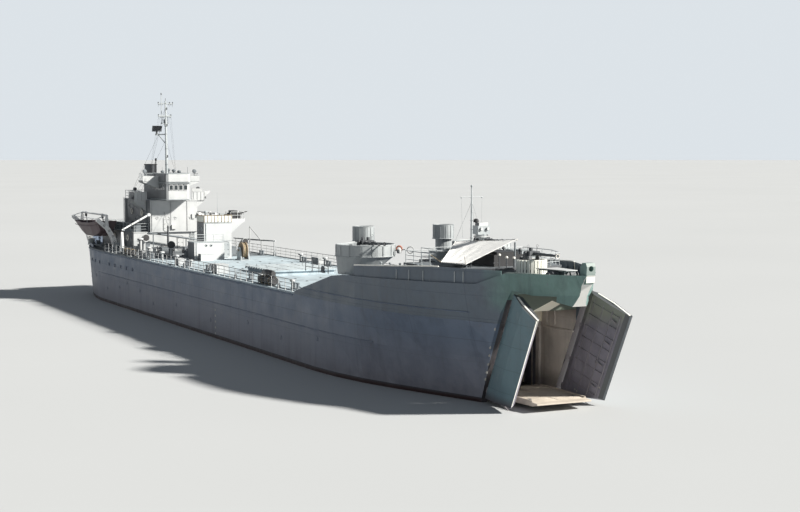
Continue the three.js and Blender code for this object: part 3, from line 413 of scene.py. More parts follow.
def wood_material(name, base, dark, across=(3.0, 40.0, 40.0)):
    n = Nodes(name)
    grain = n.noise(1.0, 6, 0.65, n.mapping(across), 0.6)
    big = n.noise(5.0, 3, 0.5)
    colour = n.mix(n.ramp(grain, [(0.35, 0.0), (0.65, 1.0)]), dark, base)
    colour = n.mix(n.ramp(big, [(0.4, 0.0), (0.7, 0.5)]), colour, tuple(c * 0.8 for c in base))
    n.link(colour, n.bsdf.inputs["Base Color"])
    n.link(n.ramp(grain, [(0.3, 0.65), (0.7, 0.85)]), n.bsdf.inputs["Roughness"])
    n.link(n.bump(grain, 0.35, 0.003), n.bsdf.inputs["Normal"])
    return n.mat


def metal_material(name, base, rough=0.45, metal=0.9, stain=(0.12, 0.08, 0.04)):
    n = Nodes(name)
    mid = n.noise(14.0, 5, 0.6)
    fine = n.noise(90.0, 3, 0.6)
    colour = n.mix(n.ramp(mid, [(0.42, 0.0), (0.68, 0.7)]), base, stain)
    n.link(colour, n.bsdf.inputs["Base Color"])
    n.link(n.ramp(fine, [(0.3, rough - 0.12), (0.7, rough + 0.15)]), n.bsdf.inputs["Roughness"])
    n.bsdf.inputs["Metallic"].default_value = metal
    n.link(n.bump(fine, 0.25, 0.002), n.bsdf.inputs["Normal"])
    return n.mat


def glass_material(name):
    n = Nodes(name)
    mid = n.noise(16.0, 3, 0.5)
    n.link(n.mix(n.ramp(mid, [(0.4, 0.0), (0.7, 1.0)]), (0.012, 0.018, 0.022), (0.03, 0.04, 0.045)), n.bsdf.inputs["Base Color"])
    n.link(n.ramp(mid, [(0.3, 0.08), (0.7, 0.2)]), n.bsdf.inputs["Roughness"])
    n.bsdf.inputs["Coat Weight"].default_value = 0.5
    return n.mat


SLATE = (0.108, 0.14, 0.198)
FOULING = (0.05, 0.024, 0.022)
M = {
    "hull": painted(
        "slate_hull_paint", SLATE, light=(0.145, 0.182, 0.245), dark=(0.08, 0.106, 0.154), rust=0.5, rough=0.5, streak=0.55, seams=0.5,
        wet=[(WATER + 0.1, 0.03, (0.075, 0.074, 0.086)), (WATER + 0.03, 0.01, FOULING)], zones=[side_zone, well_zone],
    ),
    "door": painted(
        "slate_door_paint", (0.12, 0.195, 0.225), light=(0.155, 0.24, 0.27), dark=(0.085, 0.14, 0.165), rust=0.6, rough=0.5, streak=0.6, seams=0.22,
        wet=[(WATER + 0.08, 0.03, (0.075, 0.074, 0.086)), (WATER + 0.02, 0.01, FOULING)], zones=[door_zone],
    ),
    # the doors' inner ribs: purple-grey kept light as painted light in the doors' shade
    "door_inner": painted("door_inner_paint", (0.24, 0.225, 0.25), light=(0.3, 0.285, 0.3), dark=(0.17, 0.155, 0.175), rust=0.4, rough=0.6, streak=0.5),
    "edge": painted("worn_edge_paint", (0.42, 0.42, 0.38), light=(0.6, 0.59, 0.52), dark=(0.2, 0.21, 0.2), rust=0.5, rough=0.55, streak=0.4),
    "ramp": painted("ramp_paint", (0.5, 0.445, 0.375), light=(0.64, 0.575, 0.49), dark=(0.33, 0.29, 0.245), rust=0.5, rough=0.75, streak=0.35, patch=0.7),
    "fore": painted("forecastle_paint", SLATE, light=(0.122, 0.15, 0.18), dark=(0.07, 0.09, 0.112), rust=0.35, rough=0.5, streak=0.45, seams=0.35, zones=[fore_zone, well_zone]),
    "fore_light": painted("forecastle_cap_paint", (0.16, 0.215, 0.2), light=(0.26, 0.32, 0.3), dark=(0.09, 0.125, 0.12), rust=0.3, rough=0.5, streak=0.3),
    "tub": painted("gun_tub_paint", (0.33, 0.355, 0.365), light=(0.41, 0.435, 0.44), dark=(0.24, 0.262, 0.275), rust=0.3, rough=0.5, streak=0.35),
    # a brighter copy of the white paint, as painted sunlight on the davits, booms and boom posts
    "bright": painted("painted_sunlit_white_paint", (0.8, 0.805, 0.8), light=(0.86, 0.86, 0.855), dark=(0.68, 0.69, 0.69), rust=0.3, rough=0.5, streak=0.3),
    "boat": painted("boat_paint", (0.1, 0.07, 0.078), light=(0.15, 0.105, 0.11), dark=(0.06, 0.04, 0.048), rust=0.3, rough=0.55, streak=0.35),
    "cream": painted("cream_grey_paint", (0.74, 0.74, 0.67), light=(0.84, 0.84, 0.78), dark=(0.56, 0.56, 0.5), rust=0.35, rough=0.55, streak=0.3),
    "deck": deck_material("light_deck_paint", (0.41, 0.485, 0.525), (0.32, 0.375, 0.41), shade_by_houses=True),
    "tank_deck": deck_material("tank_deck_paint", (0.16, 0.16, 0.155), (0.09, 0.088, 0.085)),
    "white": painted("pale_paint", (0.5, 0.515, 0.52), light=(0.58, 0.59, 0.59), dark=(0.4, 0.42, 0.43), rust=0.35, rough=0.5, streak=0.3, zones=[flank_zone]),
    "grey": painted("haze_grey_paint", (0.36, 0.39, 0.40), light=(0.44, 0.47, 0.48), dark=(0.26, 0.29, 0.31), rust=0.35, rough=0.5, streak=0.35),
    "mid": painted("mid_grey_paint", (0.15, 0.17, 0.186), light=(0.2, 0.222, 0.24), dark=(0.1, 0.115, 0.128), rust=0.35, rough=0.55, streak=0.35),
    "dark": painted("dark_grey_paint", (0.07, 0.076, 0.084), light=(0.11, 0.117, 0.127), dark=(0.042, 0.046, 0.052), rust=0.3, rough=0.55, streak=0.3),
    "black": painted("black_paint", (0.018, 0.018, 0.02), light=(0.035, 0.035, 0.038), dark=(0.01, 0.01, 0.011), rust=0.2, rough=0.5, streak=0.2),
    # kept light as painted light, like the well's walls
    "inner": painted("well_paint", (0.55, 0.5, 0.45), light=(0.68, 0.62, 0.56), dark=(0.36, 0.32, 0.28), rust=0.8, rough=0.6, streak=0.6),
    "bottom": painted("bottom_paint", (0.16, 0.05, 0.038), light=(0.2, 0.07, 0.05), dark=(0.1, 0.034, 0.03), rust=0.5, rough=0.65, streak=0.4),
    "canvas": canvas_material("awning_canvas", (0.97, 0.965, 0.94), (0.88, 0.88, 0.86)),
    "rope": wood_material("manila_rope", (0.42, 0.34, 0.22), (0.22, 0.17, 0.1), (60.0, 60.0, 60.0)),
    "wood": wood_material("reel_timber", (0.3, 0.235, 0.165), (0.16, 0.12, 0.08)),
    "bronze": metal_material("propeller_bronze", (0.5, 0.33, 0.14)),
    "steel": metal_material("bare_steel", (0.38, 0.38, 0.38), 0.4),
    "glass": glass_material("dark_window_glass"),
    "ring": painted("pale_mark_paint", (0.75, 0.72, 0.66), rust=0.05, rough=0.6, streak=0.1),
    "mark": painted("draught_mark_paint", (0.42, 0.41, 0.38), light=(0.5, 0.49, 0.45), dark=(0.3, 0.29, 0.27), rust=0.5, rough=0.6, streak=0.3),
    # pale paint for lit edges, a painted highlight
    "lip": painted("painted_highlight_lip_paint", (0.82, 0.81, 0.76), light=(0.88, 0.87, 0.82), dark=(0.66, 0.65, 0.6), rust=0.15, rough=0.5, streak=0.2),
    "orange": painted("dull_red_paint", (0.34, 0.13, 0.085), rust=0.05, rough=0.6, streak=0.1),
}


def dress(material, *nodes):
    for name in nodes:
        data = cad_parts[name].data
        data.materials.clear()
        data.materials.append(M[material])


sides = lambda *names: [f"{s}_{n}" for n in names for s in ("port", "starboard")]
dress("hull", "hull")
dress("door", *sides("bow_door"))
dress("fore", "forecastle")
dress("deck", "main_deck", "deck_hatch")
dress("tank_deck", "tank_deck")
dress("white", "main_house", "pilot_house", "flying_bridge", "amidships_house")
# the davits, booms and boom posts take the brighter white as painted sunlight
dress("bright", *sides("davits", "boom", "boom_post"))
dress("tub", *sides("gun_tub", "director_tub"))
dress("grey", *sides("davit_base"), "forward_director", "signal_mast", "stern_house", "reel_stand", "mast")
dress("cream", "bow_gun_tub")
dress("mid", "gun_platform")
dress("boat", *sides("boat"))
# the forward house is painted black as painted shade under the awning
dress("black", "forward_house")
dress("dark", "funnel", "engine_block", "bow_gun_carriage", "bow_gun_barrel", "anchor_windlass", "stern_anchor_winch", "radar_antenna", *sides("gun_carriage", "gun_barrels"))
dress("ramp", "bow_ramp")
dress("canvas", "awning")
dress("wood", "hawser_reel")
dress("bronze", *sides("propeller"))
dress("bottom", *sides("shaft", "rudder", "bilge_keel"))


# ------------------------------------------------------------------ building in full-size metres
TREES = {}


def tree(node):
    if node not in TREES:
        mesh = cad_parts[node].data
        TREES[node] = BVHTree.FromPolygons([v.co.copy() for v in mesh.vertices], [tuple(p.vertices) for p in mesh.polygons])
    return TREES[node]


def meet(start, way, *nodes):
    """Where a line from start first meets one of the nodes, or None."""
    best = None
    for node in nodes:
        spot, normal, _, far = tree(node).ray_cast(P(*start), Vector(way).normalized())
        if spot is not None and (best is None or far < best[1]):
            best = (spot, far, normal)
    if best is None:
        return None
    s = best[0]
    return Vector((s.x * 10 + LENGTH / 2, s.y * 10, s.z * 10 - DRAFT)), best[2]


def side(x, z, s, out=0.0):
    """The hull's outside at x, z on side s, pushed out a little."""
    got = meet((x, s * 14, z), (0, -s, 0), "hull", "forecastle")
    return (got[0].y if got else s * 8.0) + s * out


def edge(x, z, s, inset=0.12):
    return side(x, z, s) - s * inset


def deck(x, y, *nodes, top=30.0):
    got = meet((x, y, top), (0, 0, -1), *(nodes or ("forecastle", "main_deck")))
    return got[0].z if got else DECK


class Kit:
    """One piece, put together from plates, bars, tubes and turned parts."""

    def __init__(self, name, material, body="hull", slot=None, bevel=0.0, angle=40):
        self.name, self.material, self.body, self.slot, self.bevel, self.angle = name, material, body, slot, bevel, angle
        self.v, self.f = [], []

    def add(self, verts, faces):
        k = len(self.v)
        self.v += [Vector(p) for p in verts]
        self.f += [tuple(i + k for i in f) for f in faces]
        return self

    def box(self, x0, x1, y0, y1, z0, z1):
        v = [(x, y, z) for x in (x0, x1) for y in (y0, y1) for z in (z0, z1)]
        return self.add(v, [(0, 1, 3, 2), (4, 6, 7, 5), (0, 4, 5, 1), (2, 3, 7, 6), (0, 2, 6, 4), (1, 5, 7, 3)])

    def beam(self, p, q, w, h, up=(0, 0, 1)):
        """A rectangular bar from p to q, w across and h along up."""
        p, q, up = Vector(p), Vector(q), Vector(up)
        d = (q - p).normalized()
        s = d.cross(up)
        if s.length < 1e-5:
            s = d.cross(Vector((1, 0, 0)))
        s.normalize()
        u = s.cross(d).normalized()
        v = [e + s * a * w / 2 + u * b * h / 2 for e in (p, q) for a, b in ((-1, -1), (1, -1), (1, 1), (-1, 1))]
        return self.add(v, [(3, 2, 1, 0), (4, 5, 6, 7), (0, 1, 5, 4), (1, 2, 6, 5), (2, 3, 7, 6), (3, 0, 4, 7)])

    def prism(self, outline, shift):
        """A flat outline pushed along shift."""
        n = len(outline)
        a = [Vector(p) for p in outline]
        b = [p + Vector(shift) for p in a]
        return self.add(a + b, [tuple(reversed(range(n))), tuple(range(n, 2 * n))] + [(i, (i + 1) % n, n + (i + 1) % n, n + i) for i in range(n)])

    def tube(self, pts, r, n=6, closed=False, caps=True):
        pts = [Vector(p) for p in pts]
        m = len(pts)
        radii = r if isinstance(r, (list, tuple)) else [r] * m
        side_way = None
        v = []
        for i, p in enumerate(pts):
            a = pts[(i - 1) % m] if closed or i else p
            b = pts[(i + 1) % m] if closed or i < m - 1 else p
            d = (b - a).normalized()
            if side_way is None:
                ref = Vector((0, 0, 1)) if abs(d.z) < 0.9 else Vector((1, 0, 0))
                side_way = d.cross(ref).normalized()
            else:
                side_way = (side_way - d * side_way.dot(d)).normalized()
            w = d.cross(side_way)
            for k in range(n):
                t = 2 * math.pi * k / n
                v.append(p + (side_way * math.cos(t) + w * math.sin(t)) * radii[i])
        f = []
        for i in range(m if closed else m - 1):
            j = (i + 1) % m
            f += [(i * n + k, i * n + (k + 1) % n, j * n + (k + 1) % n, j * n + k) for k in range(n)]
        if caps and not closed:
            f += [tuple(reversed(range(n))), tuple(range((m - 1) * n, m * n))]
        return self.add(v, f)

    def bar(self, p, q, r, r2=None, n=8):
        return self.tube([p, q], [r, r if r2 is None else r2], n)

    def ring(self, centre, normal, big, small, n=24, m=8):
        c, w = Vector(centre), Vector(normal).normalized()
        u = w.orthogonal().normalized()
        t = w.cross(u)
        pts = [c + (u * math.cos(2 * math.pi * k / n) + t * math.sin(2 * math.pi * k / n)) * big for k in range(n)]
        return self.tube(pts, small, m, closed=True)

    def lathe(self, base, way, shape, n=16):
        """shape is a list of (radius, distance along way); closed at both ends."""
        c, w = Vector(base), Vector(way).normalized()
        u = w.orthogonal().normalized()
        t = w.cross(u)
        v, rows = [], []
        for r, h in shape:
            if r < 1e-6:
                rows.append([len(v)])
                v.append(c + w * h)
            else:
                rows.append(list(range(len(v), len(v) + n)))
                v += [c + w * h + (u * math.cos(2 * math.pi * k / n) + t * math.sin(2 * math.pi * k / n)) * r for k in range(n)]
        f = []
        for a, b in zip(rows, rows[1:]):
            for k in range(n):
                l = (k + 1) % n
                if len(a) == 1 and len(b) == 1:
                    continue
                if len(a) == 1:
                    f.append((a[0], b[l], b[k]))
                elif len(b) == 1:
                    f.append((a[k], a[l], b[0]))
                else:
                    f.append((a[k], a[l], b[l], b[k]))
        if len(rows[0]) > 1:
            f.append(tuple(reversed(rows[0])))
        if len(rows[-1]) > 1:
            f.append(tuple(rows[-1]))
        return self.add(v, f)

    def done(self):
        mesh = bpy.data.meshes.new(self.name)
        mesh.from_pydata([P(*p) for p in self.v], [], self.f)
        bm = bmesh.new()
        bm.from_mesh(mesh)
        bmesh.ops.recalc_face_normals(bm, faces=bm.faces)
        bm.to_mesh(mesh)
        bm.free()
        mesh.shade_smooth()
        mesh.set_sharp_from_angle(angle=math.radians(self.angle))
        mesh.materials.append(M[self.material])
        o = bpy.data.objects.new(self.name, mesh)
        scene.collection.objects.link(o)
        if self.bevel:
            b = o.modifiers.new("edges", "BEVEL")
            b.width = self.bevel / 10
            b.segments = 1
            b.limit_method = "ANGLE"
            b.angle_limit = math.radians(50)
            b.harden_normals = False
        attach(o, self.body)
        return o


def walk(points, step):
    """Points every step metres or so along a polyline, corners kept."""
    out = [Vector(points[0])]
    for a, b in zip(points, points[1:]):
        a, b = Vector(a), Vector(b)
        n = max(1, round((b - a).length / step))
        out += [a.lerp(b, (i + 1) / n) for i in range(n)]
    return out


def rail(kit, path, height=1.05, bars=(1.0, 0.66, 0.33), step=1.6, r=0.024, post=0.034, closed=False):
    """Stanchions and rails along a path on the deck."""
    pts = walk(path, step)
    up = Vector((0, 0, height))
    for p in pts[: -1 if closed else None]:
        kit.bar(p - Vector((0, 0, 0.04)), p + up, post, n=6)
        kit.lathe(p, (0, 0, 1), [(0.075, 0), (0.075, 0.03), (0.036, 0.06)], 8)
    for b in bars:
        line = [p + up * b for p in (pts[:-1] if closed else pts)]
        kit.tube(line, r if b < 1 else r * 1.25, 6, closed=closed)


def ladder(kit, x, y, z0, z1, facing=(1, 0), width=0.42, step=0.3, off=0.16):
    """A fixed ladder on a wall; facing is the way the wall looks."""
    fx, fy = facing
    sx, sy = -fy, fx
    cx, cy = x + fx * off, y + fy * off
    for s in (-1, 1):
        kit.beam((cx + sx * s * width / 2, cy + sy * s * width / 2, z0), (cx + sx * s * width / 2, cy + sy * s * width / 2, z1), 0.05, 0.05, up=(fx, fy, 0))
    n = int((z1 - z0) / step)
    for i in range(1, n + 1):
        z = z0 + i * step - 0.1
        kit.bar((cx - sx * width / 2, cy - sy * width / 2, z), (cx + sx * width / 2, cy + sy * width / 2, z), 0.018, n=6)
    for z in (z0 + 0.25, z1 - 0.25):
        for s in (-1, 1):
            kit.bar((x + sx * s * width / 2, y + sy * s * width / 2, z), (cx + sx * s * width / 2, cy + sy * s * width / 2, z), 0.02, n=6)


def port_light(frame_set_, glass_kit, x, y, z, facing, r=0.16):
    """A round ship's window: ring, brow and glass."""
    f = Vector((facing[0], facing[1], 0)).normalized()
    c = Vector((x, y, z))
    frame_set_.ring(c + f * 0.02, f, r + 0.03, 0.035, 18, 6)
    t = Vector((-f.y, f.x, 0))
    brow = [c + f * 0.02 + t * math.cos(a) * (r + 0.1) + Vector((0, 0, 1)) * math.sin(a) * (r + 0.1) for a in [math.radians(d) for d in range(20, 161, 20)]]
    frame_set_.tube([p + f * 0.03 for p in brow], 0.022, 5)
    glass_kit.lathe(c - f * 0.01, f, [(r, 0), (r, 0.02), (r * 0.6, 0.028), (0, 0.03)], 16)


def door(kit, knob, x, y, z, facing, w=0.72, h=1.75):
    """A watertight door with its frame and dogs."""
    f = Vector((facing[0], facing[1], 0)).normalized()
    t = Vector((-f.y, f.x, 0))
    c = Vector((x, y, z))
    corners = lambda ww, hh, rr: [
        c + t * a + Vector((0, 0, b))
        for a, b in [(-ww / 2, rr), (-ww / 2, hh - rr), (-ww / 2 + rr, hh), (ww / 2 - rr, hh), (ww / 2, hh - rr), (ww / 2, rr), (ww / 2 - rr, 0), (-ww / 2 + rr, 0)]
    ]
    kit.prism([p - f * 0.02 for p in corners(w, h, 0.14)], f * 0.08)
    kit.tube([p + f * 0.02 for p in corners(w + 0.1, h + 0.1, 0.18)], 0.03, 6, closed=True)
    for b in (0.35, 0.9, 1.45):
        for a in (-1, 1):
            p = c + t * a * (w / 2 - 0.04) + Vector((0, 0, b)) + f * 0.07
            knob.beam(p, p - t * a * 0.16 + Vector((0, 0, 0.05)), 0.04, 0.03, up=f)


def life_ring(kit, centre, normal, big=0.34):
    kit.ring(centre, normal, big, 0.075, 20, 8)


def bitts(kit, x, y, z, along=(1, 0), size=1.0):
    ax, ay = along
    kit.box(x - 0.75 * size * abs(ax) - 0.28 * size * abs(ay), x + 0.75 * size * abs(ax) + 0.28 * size * abs(ay),
            y - 0.75 * size * abs(ay) - 0.28 * size * abs(ax), y + 0.75 * size * abs(ay) + 0.28 * size * abs(ax), z - 0.02, z + 0.09)
    for s in (-0.42, 0.42):
        kit.lathe((x + ax * s * size, y + ay * s * size, z + 0.05), (0, 0, 1),
                  [(0.17 * size, 0), (0.15 * size, 0.08), (0.15 * size, 0.46 * size), (0.2 * size, 0.5 * size), (0.2 * size, 0.56 * size), (0.1 * size, 0.6 * size), (0, 0.61 * size)], 14)


def vent(kit, x, y, z, h=0.9, r=0.14, head=0.3):
    """A mushroom ventilator."""
    kit.lathe((x, y, z - 0.02), (0, 0, 1), [(r * 1.7, 0), (r * 1.7, 0.04), (r, 0.07), (r, h - 0.14), (head * 0.9, h - 0.16), (head, h - 0.1), (head * 0.92, h - 0.02), (head * 0.5, h + 0.04), (0, h + 0.06)], 14)


def cowl(kit, dark_kit, x, y, z, h=2.0, r=0.26, facing=0.0):
    """A cowl ventilator: trunk, bend and bell mouth."""
    c, s = math.cos(facing), math.sin(facing)
    pts, radii = [(x, y, z)], [r]
    pts.append((x, y, z + h * 0.62)); radii.append(r)
    for k in range(1, 7):
        a = math.radians(15 * k)
        d = 0.42 * (1 - math.cos(a))
        e = 0.42 * math.sin(a)
        pts.append((x + c * d, y + s * d, z + h * 0.62 + e))
        radii.append(r * (1 + 0.11 * k))
    pts.append((x + c * 0.62, y + s * 0.62, z + h * 0.62 + 0.43)); radii.append(r * 1.85)
    kit.tube(pts, radii, 16)
    kit.ring((x + c * 0.62, y + s * 0.62, z + h * 0.62 + 0.43), (c, s, 0), r * 1.85, 0.03, 18, 6)
    dark_kit.lathe((x + c * 0.635, y + s * 0.635, z + h * 0.62 + 0.43), (c, s, 0), [(r * 1.75, 0), (r * 1.6, 0.004), (0, 0.006)], 18)
    kit.lathe((x, y, z - 0.02), (0, 0, 1), [(r * 1.35, 0), (r * 1.35, 0.05), (r, 0.08)], 16)


def winch(kit, rope_kit, x, y, z, across=True, size=1.0):
    """A deck winch: bed, side frames, drum, warping heads and motor."""
    a = size
    ux, uy = (0, 1) if across else (1, 0)
    place = lambda u, v, w: (x + ux * u + uy * v, y + uy * u - ux * v, z + w)
    def slab(u0, u1, v0, v1, w0, w1):
        p, q = place(u0 * a, v0 * a, w0 * a), place(u1 * a, v1 * a, w1 * a)
        kit.box(min(p[0], q[0]), max(p[0], q[0]), min(p[1], q[1]), max(p[1], q[1]), p[2], q[2])
    slab(-0.95, 0.95, -0.6, 0.75, 0, 0.12)
    slab(-0.62, -0.5, -0.5, 0.5, 0.1, 0.72)
    slab(0.5, 0.62, -0.5, 0.5, 0.1, 0.72)
    slab(-0.45, 0.45, 0.38, 0.74, 0.1, 0.6)
    way = Vector((ux, uy, 0))
    kit.lathe(place(-1.0 * a, -0.05 * a, 0.55 * a), way, [(0.24 * a, 0), (0.24 * a, 0.04), (0.13 * a, 0.1), (0.13 * a, 0.24), (0.22 * a, 0.32 * a), (0.07 * a, 0.33 * a), (0.07 * a, 1.67 * a), (0.22 * a, 1.68 * a), (0.13 * a, 1.76 * a), (0.13 * a, 1.9 * a), (0.24 * a, 1.96 * a), (0.24 * a, 2.0 * a)], 18)
    kit.lathe(place(-0.47 * a, -0.05 * a, 0.55 * a), way, [(0.36 * a, 0), (0.36 * a, 0.05 * a)], 20)
    kit.lathe(place(0.42 * a, -0.05 * a, 0.55 * a), way, [(0.36 * a, 0), (0.36 * a, 0.05 * a)], 20)
    turns = int(0.84 / 0.07)
    rope_kit.tube(
        [Vector(place((-0.4 + 0.82 * k / (turns * 12)) * a, (-0.05 + 0.24 * math.cos(2 * math.pi * k / 12)) * a, (0.55 + 0.24 * math.sin(2 * math.pi * k / 12)) * a)) for k in range(turns * 12)],
        0.036 * a, 6)


def locker(kit, x0, x1, y0, y1, z0, z1):
    """A deck locker with an overhanging lid and hasps."""
    kit.box(x0, x1, y0, y1, z0 - 0.01, z1 - 0.05)
    kit.box(x0 - 0.04, x1 + 0.04, y0 - 0.04, y1 + 0.04, z1 - 0.07, z1)
    for x in (x0 + 0.25 * (x1 - x0), x0 + 0.75 * (x1 - x0)):
        for y in (y0 - 0.03, y1 + 0.0):
            kit.box(x - 0.04, x + 0.04, y - 0.02, y + 0.05, z1 - 0.24, z1 - 0.05)

FORE_Z = lambda x: 8.6 + (x - 89.2) / 14.8 * 0.25 if x < 104 else 8.85 + (x - 104) / 12.4 * 0.6
SIDES = (("starboard", -1), ("port", 1))

# ------------------------------------------------------------------ rails
rails = Kit("deck_rails", "white", slot="hull_paint")
for _, s in SIDES:
    rail(rails, [(x, s * (abs(side(x, 6.2, s)) - 0.14), DECK) for x in (17.0, 24, 32, 40, 48, 56, 64, 72, 80.6)], step=1.75)
    rail(rails, [(x, s * (abs(side(x, FORE_Z(x), s)) - 0.2), FORE_Z(x)) for x in (83.0, 86.0, 88.0)], step=1.5)
rails.done()

house_rails = Kit("house_rails", "grey", slot="house_paint")
top = 8.9
for _, s in SIDES:
    rail(house_rails, [(19.9, s * 3.2, top), (19.9, s * 5.1, top), (5.1, s * 5.1, top), (5.1, s * 0.1, top)], step=1.6)
    rail(house_rails, [(16.3, s * 3.0, 12.9), (8.7, s * 3.0, 12.9), (8.7, s * 0.1, 12.9)], step=1.5)
    rail(house_rails, [(2.7, s * 0.1, 8.6), (2.7, s * 2.3, 8.6), (4.8, s * 2.3, 8.6)], step=1.2)
    rail(house_rails, [(17.5, s * 1.8, 15.42), (17.5, s * 3.65, 15.42), (19.2, s * 3.65, 15.42)], height=0.8, step=0.9)
rail(house_rails, [(36.4, -3.25, 8.5), (38.5, -3.25, 8.5), (38.5, 0.2, 8.5)], height=0.9, step=1.1)
house_rails.done()

platform_rails = Kit("platform_rails", "grey", slot="house_paint")
pz = 10.0
rail(platform_rails, [(102.2, -5.4, pz), (98.0, -5.4, pz), (98.0, -2.65, pz), (95.3, -2.65, pz), (95.3, 2.65, pz), (98.0, 2.65, pz), (98.0, 5.4, pz), (102.5, 5.4, pz), (105.5, 4.2, pz), (106.2, 2.2, pz)], step=1.35, height=1.0)
platform_rails.done()

# ------------------------------------------------------------------ hull fittings
hull_trim = Kit("hull_trim", "hull", slot="hull_paint", bevel=0.02)
for _, s in SIDES:
    # sheer strake doubler and the rubbing strake below it
    for z, x0, x1, r in ((6.18, 4.0, 81.0, 0.07), (3.6, 14.0, 96.0, 0.055)):
        pts = [(x, side(x, z, s, 0.02), z) for x in [x0 + (x1 - x0) * k / 40 for k in range(41)]]
        hull_trim.tube(pts, r, 8)
    # forecastle knuckle strip
    pts = [(x, side(x, 6.95, s, 0.015), 6.95) for x in [82 + 25.5 * k / 24 for k in range(25)]]
    hull_trim.tube(pts, 0.05, 6)
    # discharges with lips
    for k, (x, z) in enumerate([(24.2, 2.4), (27.5, 3.1), (33.0, 2.6), (38.4, 1.6), (47.0, 2.2), (58.5, 1.7), (69.5, 2.5), (78.2, 2.0), (86.5, 2.8), (12.5, 3.0), (18.5, 1.8)]):
        y = side(x, z, s)
        hull_trim.lathe((x, y - s * 0.02, z), (0, s, 0), [(0.17, 0), (0.17, 0.05), (0.12, 0.06), (0.12, 0.03), (0, 0.03)], 14)
        hull_trim.beam((x - 0.2, y + s * 0.03, z + 0.24), (x + 0.2, y + s * 0.03, z + 0.24), 0.05, 0.03)
hull_trim.done()

scuttles = Kit("scuttle_rims", "hull", slot="hull_paint")
scuttle_glass = Kit("scuttle_glass", "glass")
for _, s in SIDES:
    for x in (9.5, 12.2, 14.9, 19.5, 22.1, 24.7, 27.3, 29.9):
        z = 4.9
        port_light(scuttles, scuttle_glass, x, side(x, z, s), z, (0, s), 0.15)
scuttles.done()
scuttle_glass.done()

# draught marks, plain ticks without figures
ticks = Kit("draught_ticks", "mark", slot="white_paint", bevel=0.0)
for k, (x, z) in enumerate([(109.74, 5.87), (109.0, 4.45), (108.64, 3.81), (108.3, 3.1), (107.97, 2.46), (107.68, 1.89)]):
    for _, s in SIDES:
        y = side(x, z, s)
        ticks.prism([(x - 0.12, y + s * 0.015, z - 0.1), (x + 0.07, y + s * 0.015, z - 0.1), (x + 0.12, y + s * 0.015, z + 0.1), (x - 0.07, y + s * 0.015, z + 0.1)], (0, -s * 0.05, 0))
for x in (4.6, 60.0):
    for z in (0.5, 1.1, 1.7, 2.3, 2.9):
        for _, s in SIDES:
            y = side(x, z, s)
            ticks.prism([(x - 0.13, y + s * 0.015, z - 0.1), (x + 0.13, y + s * 0.015, z - 0.1), (x + 0.13, y + s * 0.015, z + 0.1), (x - 0.13, y + s * 0.015, z + 0.1)], (0, -s * 0.05, 0))
ticks.done()

# inside the bow: frames and a ledge on the well's walls, frames and stringers down the tunnel's walls, and beams under
# the deck above
# the frames take the well's light paint, painted light like its walls
well = Kit("well_frames", "inner", slot="hull_paint", bevel=0.02)
for _, s in SIDES:
    for x in (105.9, 107.0):
        well.box(x - 0.05, x + 0.05, min(s * 2.95, s * 2.82), max(s * 2.95, s * 2.82), 5.6, 8.45)
    well.box(105.0, 109.6, min(s * 2.95, s * 2.84), max(s * 2.95, s * 2.84), 5.28, 5.42)
    # tunnel frames
    for x in range(38, 96, 3):
        well.box(x - 0.06, x + 0.06, min(s * 4.4, s * 4.31), max(s * 4.4, s * 4.31), 0.4, 5.15)
    for z in (1.6, 3.2, 4.6):
        well.box(36.6, 95.6, min(s * 4.4, s * 4.34), max(s * 4.4, s * 4.34), z - 0.05, z + 0.05)
    for x, y in ((97.5, 4.12), (99.5, 3.78), (101.5, 3.44), (103.3, 3.13)):
        well.box(x - 0.06, x + 0.06, min(s * (y + 0.05), s * (y - 0.06)), max(s * (y + 0.05), s * (y - 0.06)), 0.4, 5.15)
for x in range(38, 104, 3):
    w = 4.38 if x < 96 else 4.38 - (x - 96) / 8.5 * 1.45
    well.box(x - 0.07, x + 0.07, -w, w, 5.12, 5.21)
well.done()

lamps = Kit("tunnel_lamps", "ring")
for x in range(42, 100, 6):
    for _, s in SIDES:
        lamps.lathe((x, s * 2.4, 5.2), (0, 0, -1), [(0.16, 0), (0.16, 0.05), (0.13, 0.1), (0.06, 0.14), (0, 0.15)], 12)
lamps.done()

# ------------------------------------------------------------------ bow doors: frames, stiffeners, hinge knuckles
RAKE = math.radians(27.5)
OPEN = math.radians(8)


def door_frame(s):
    a = Vector((math.sin(RAKE), 0, math.cos(RAKE)))
    u = Vector((math.cos(RAKE), 0, -math.sin(RAKE)))
    e = u * math.cos(OPEN) + Vector((0, s * math.sin(OPEN), 0))
    n = (u * -math.sin(OPEN) + Vector((0, s * math.cos(OPEN), 0)))
    foot = Vector((106.9, s * 3.3, 0.25))
    return lambda along, up, out: foot + a * up + e * along + n * out


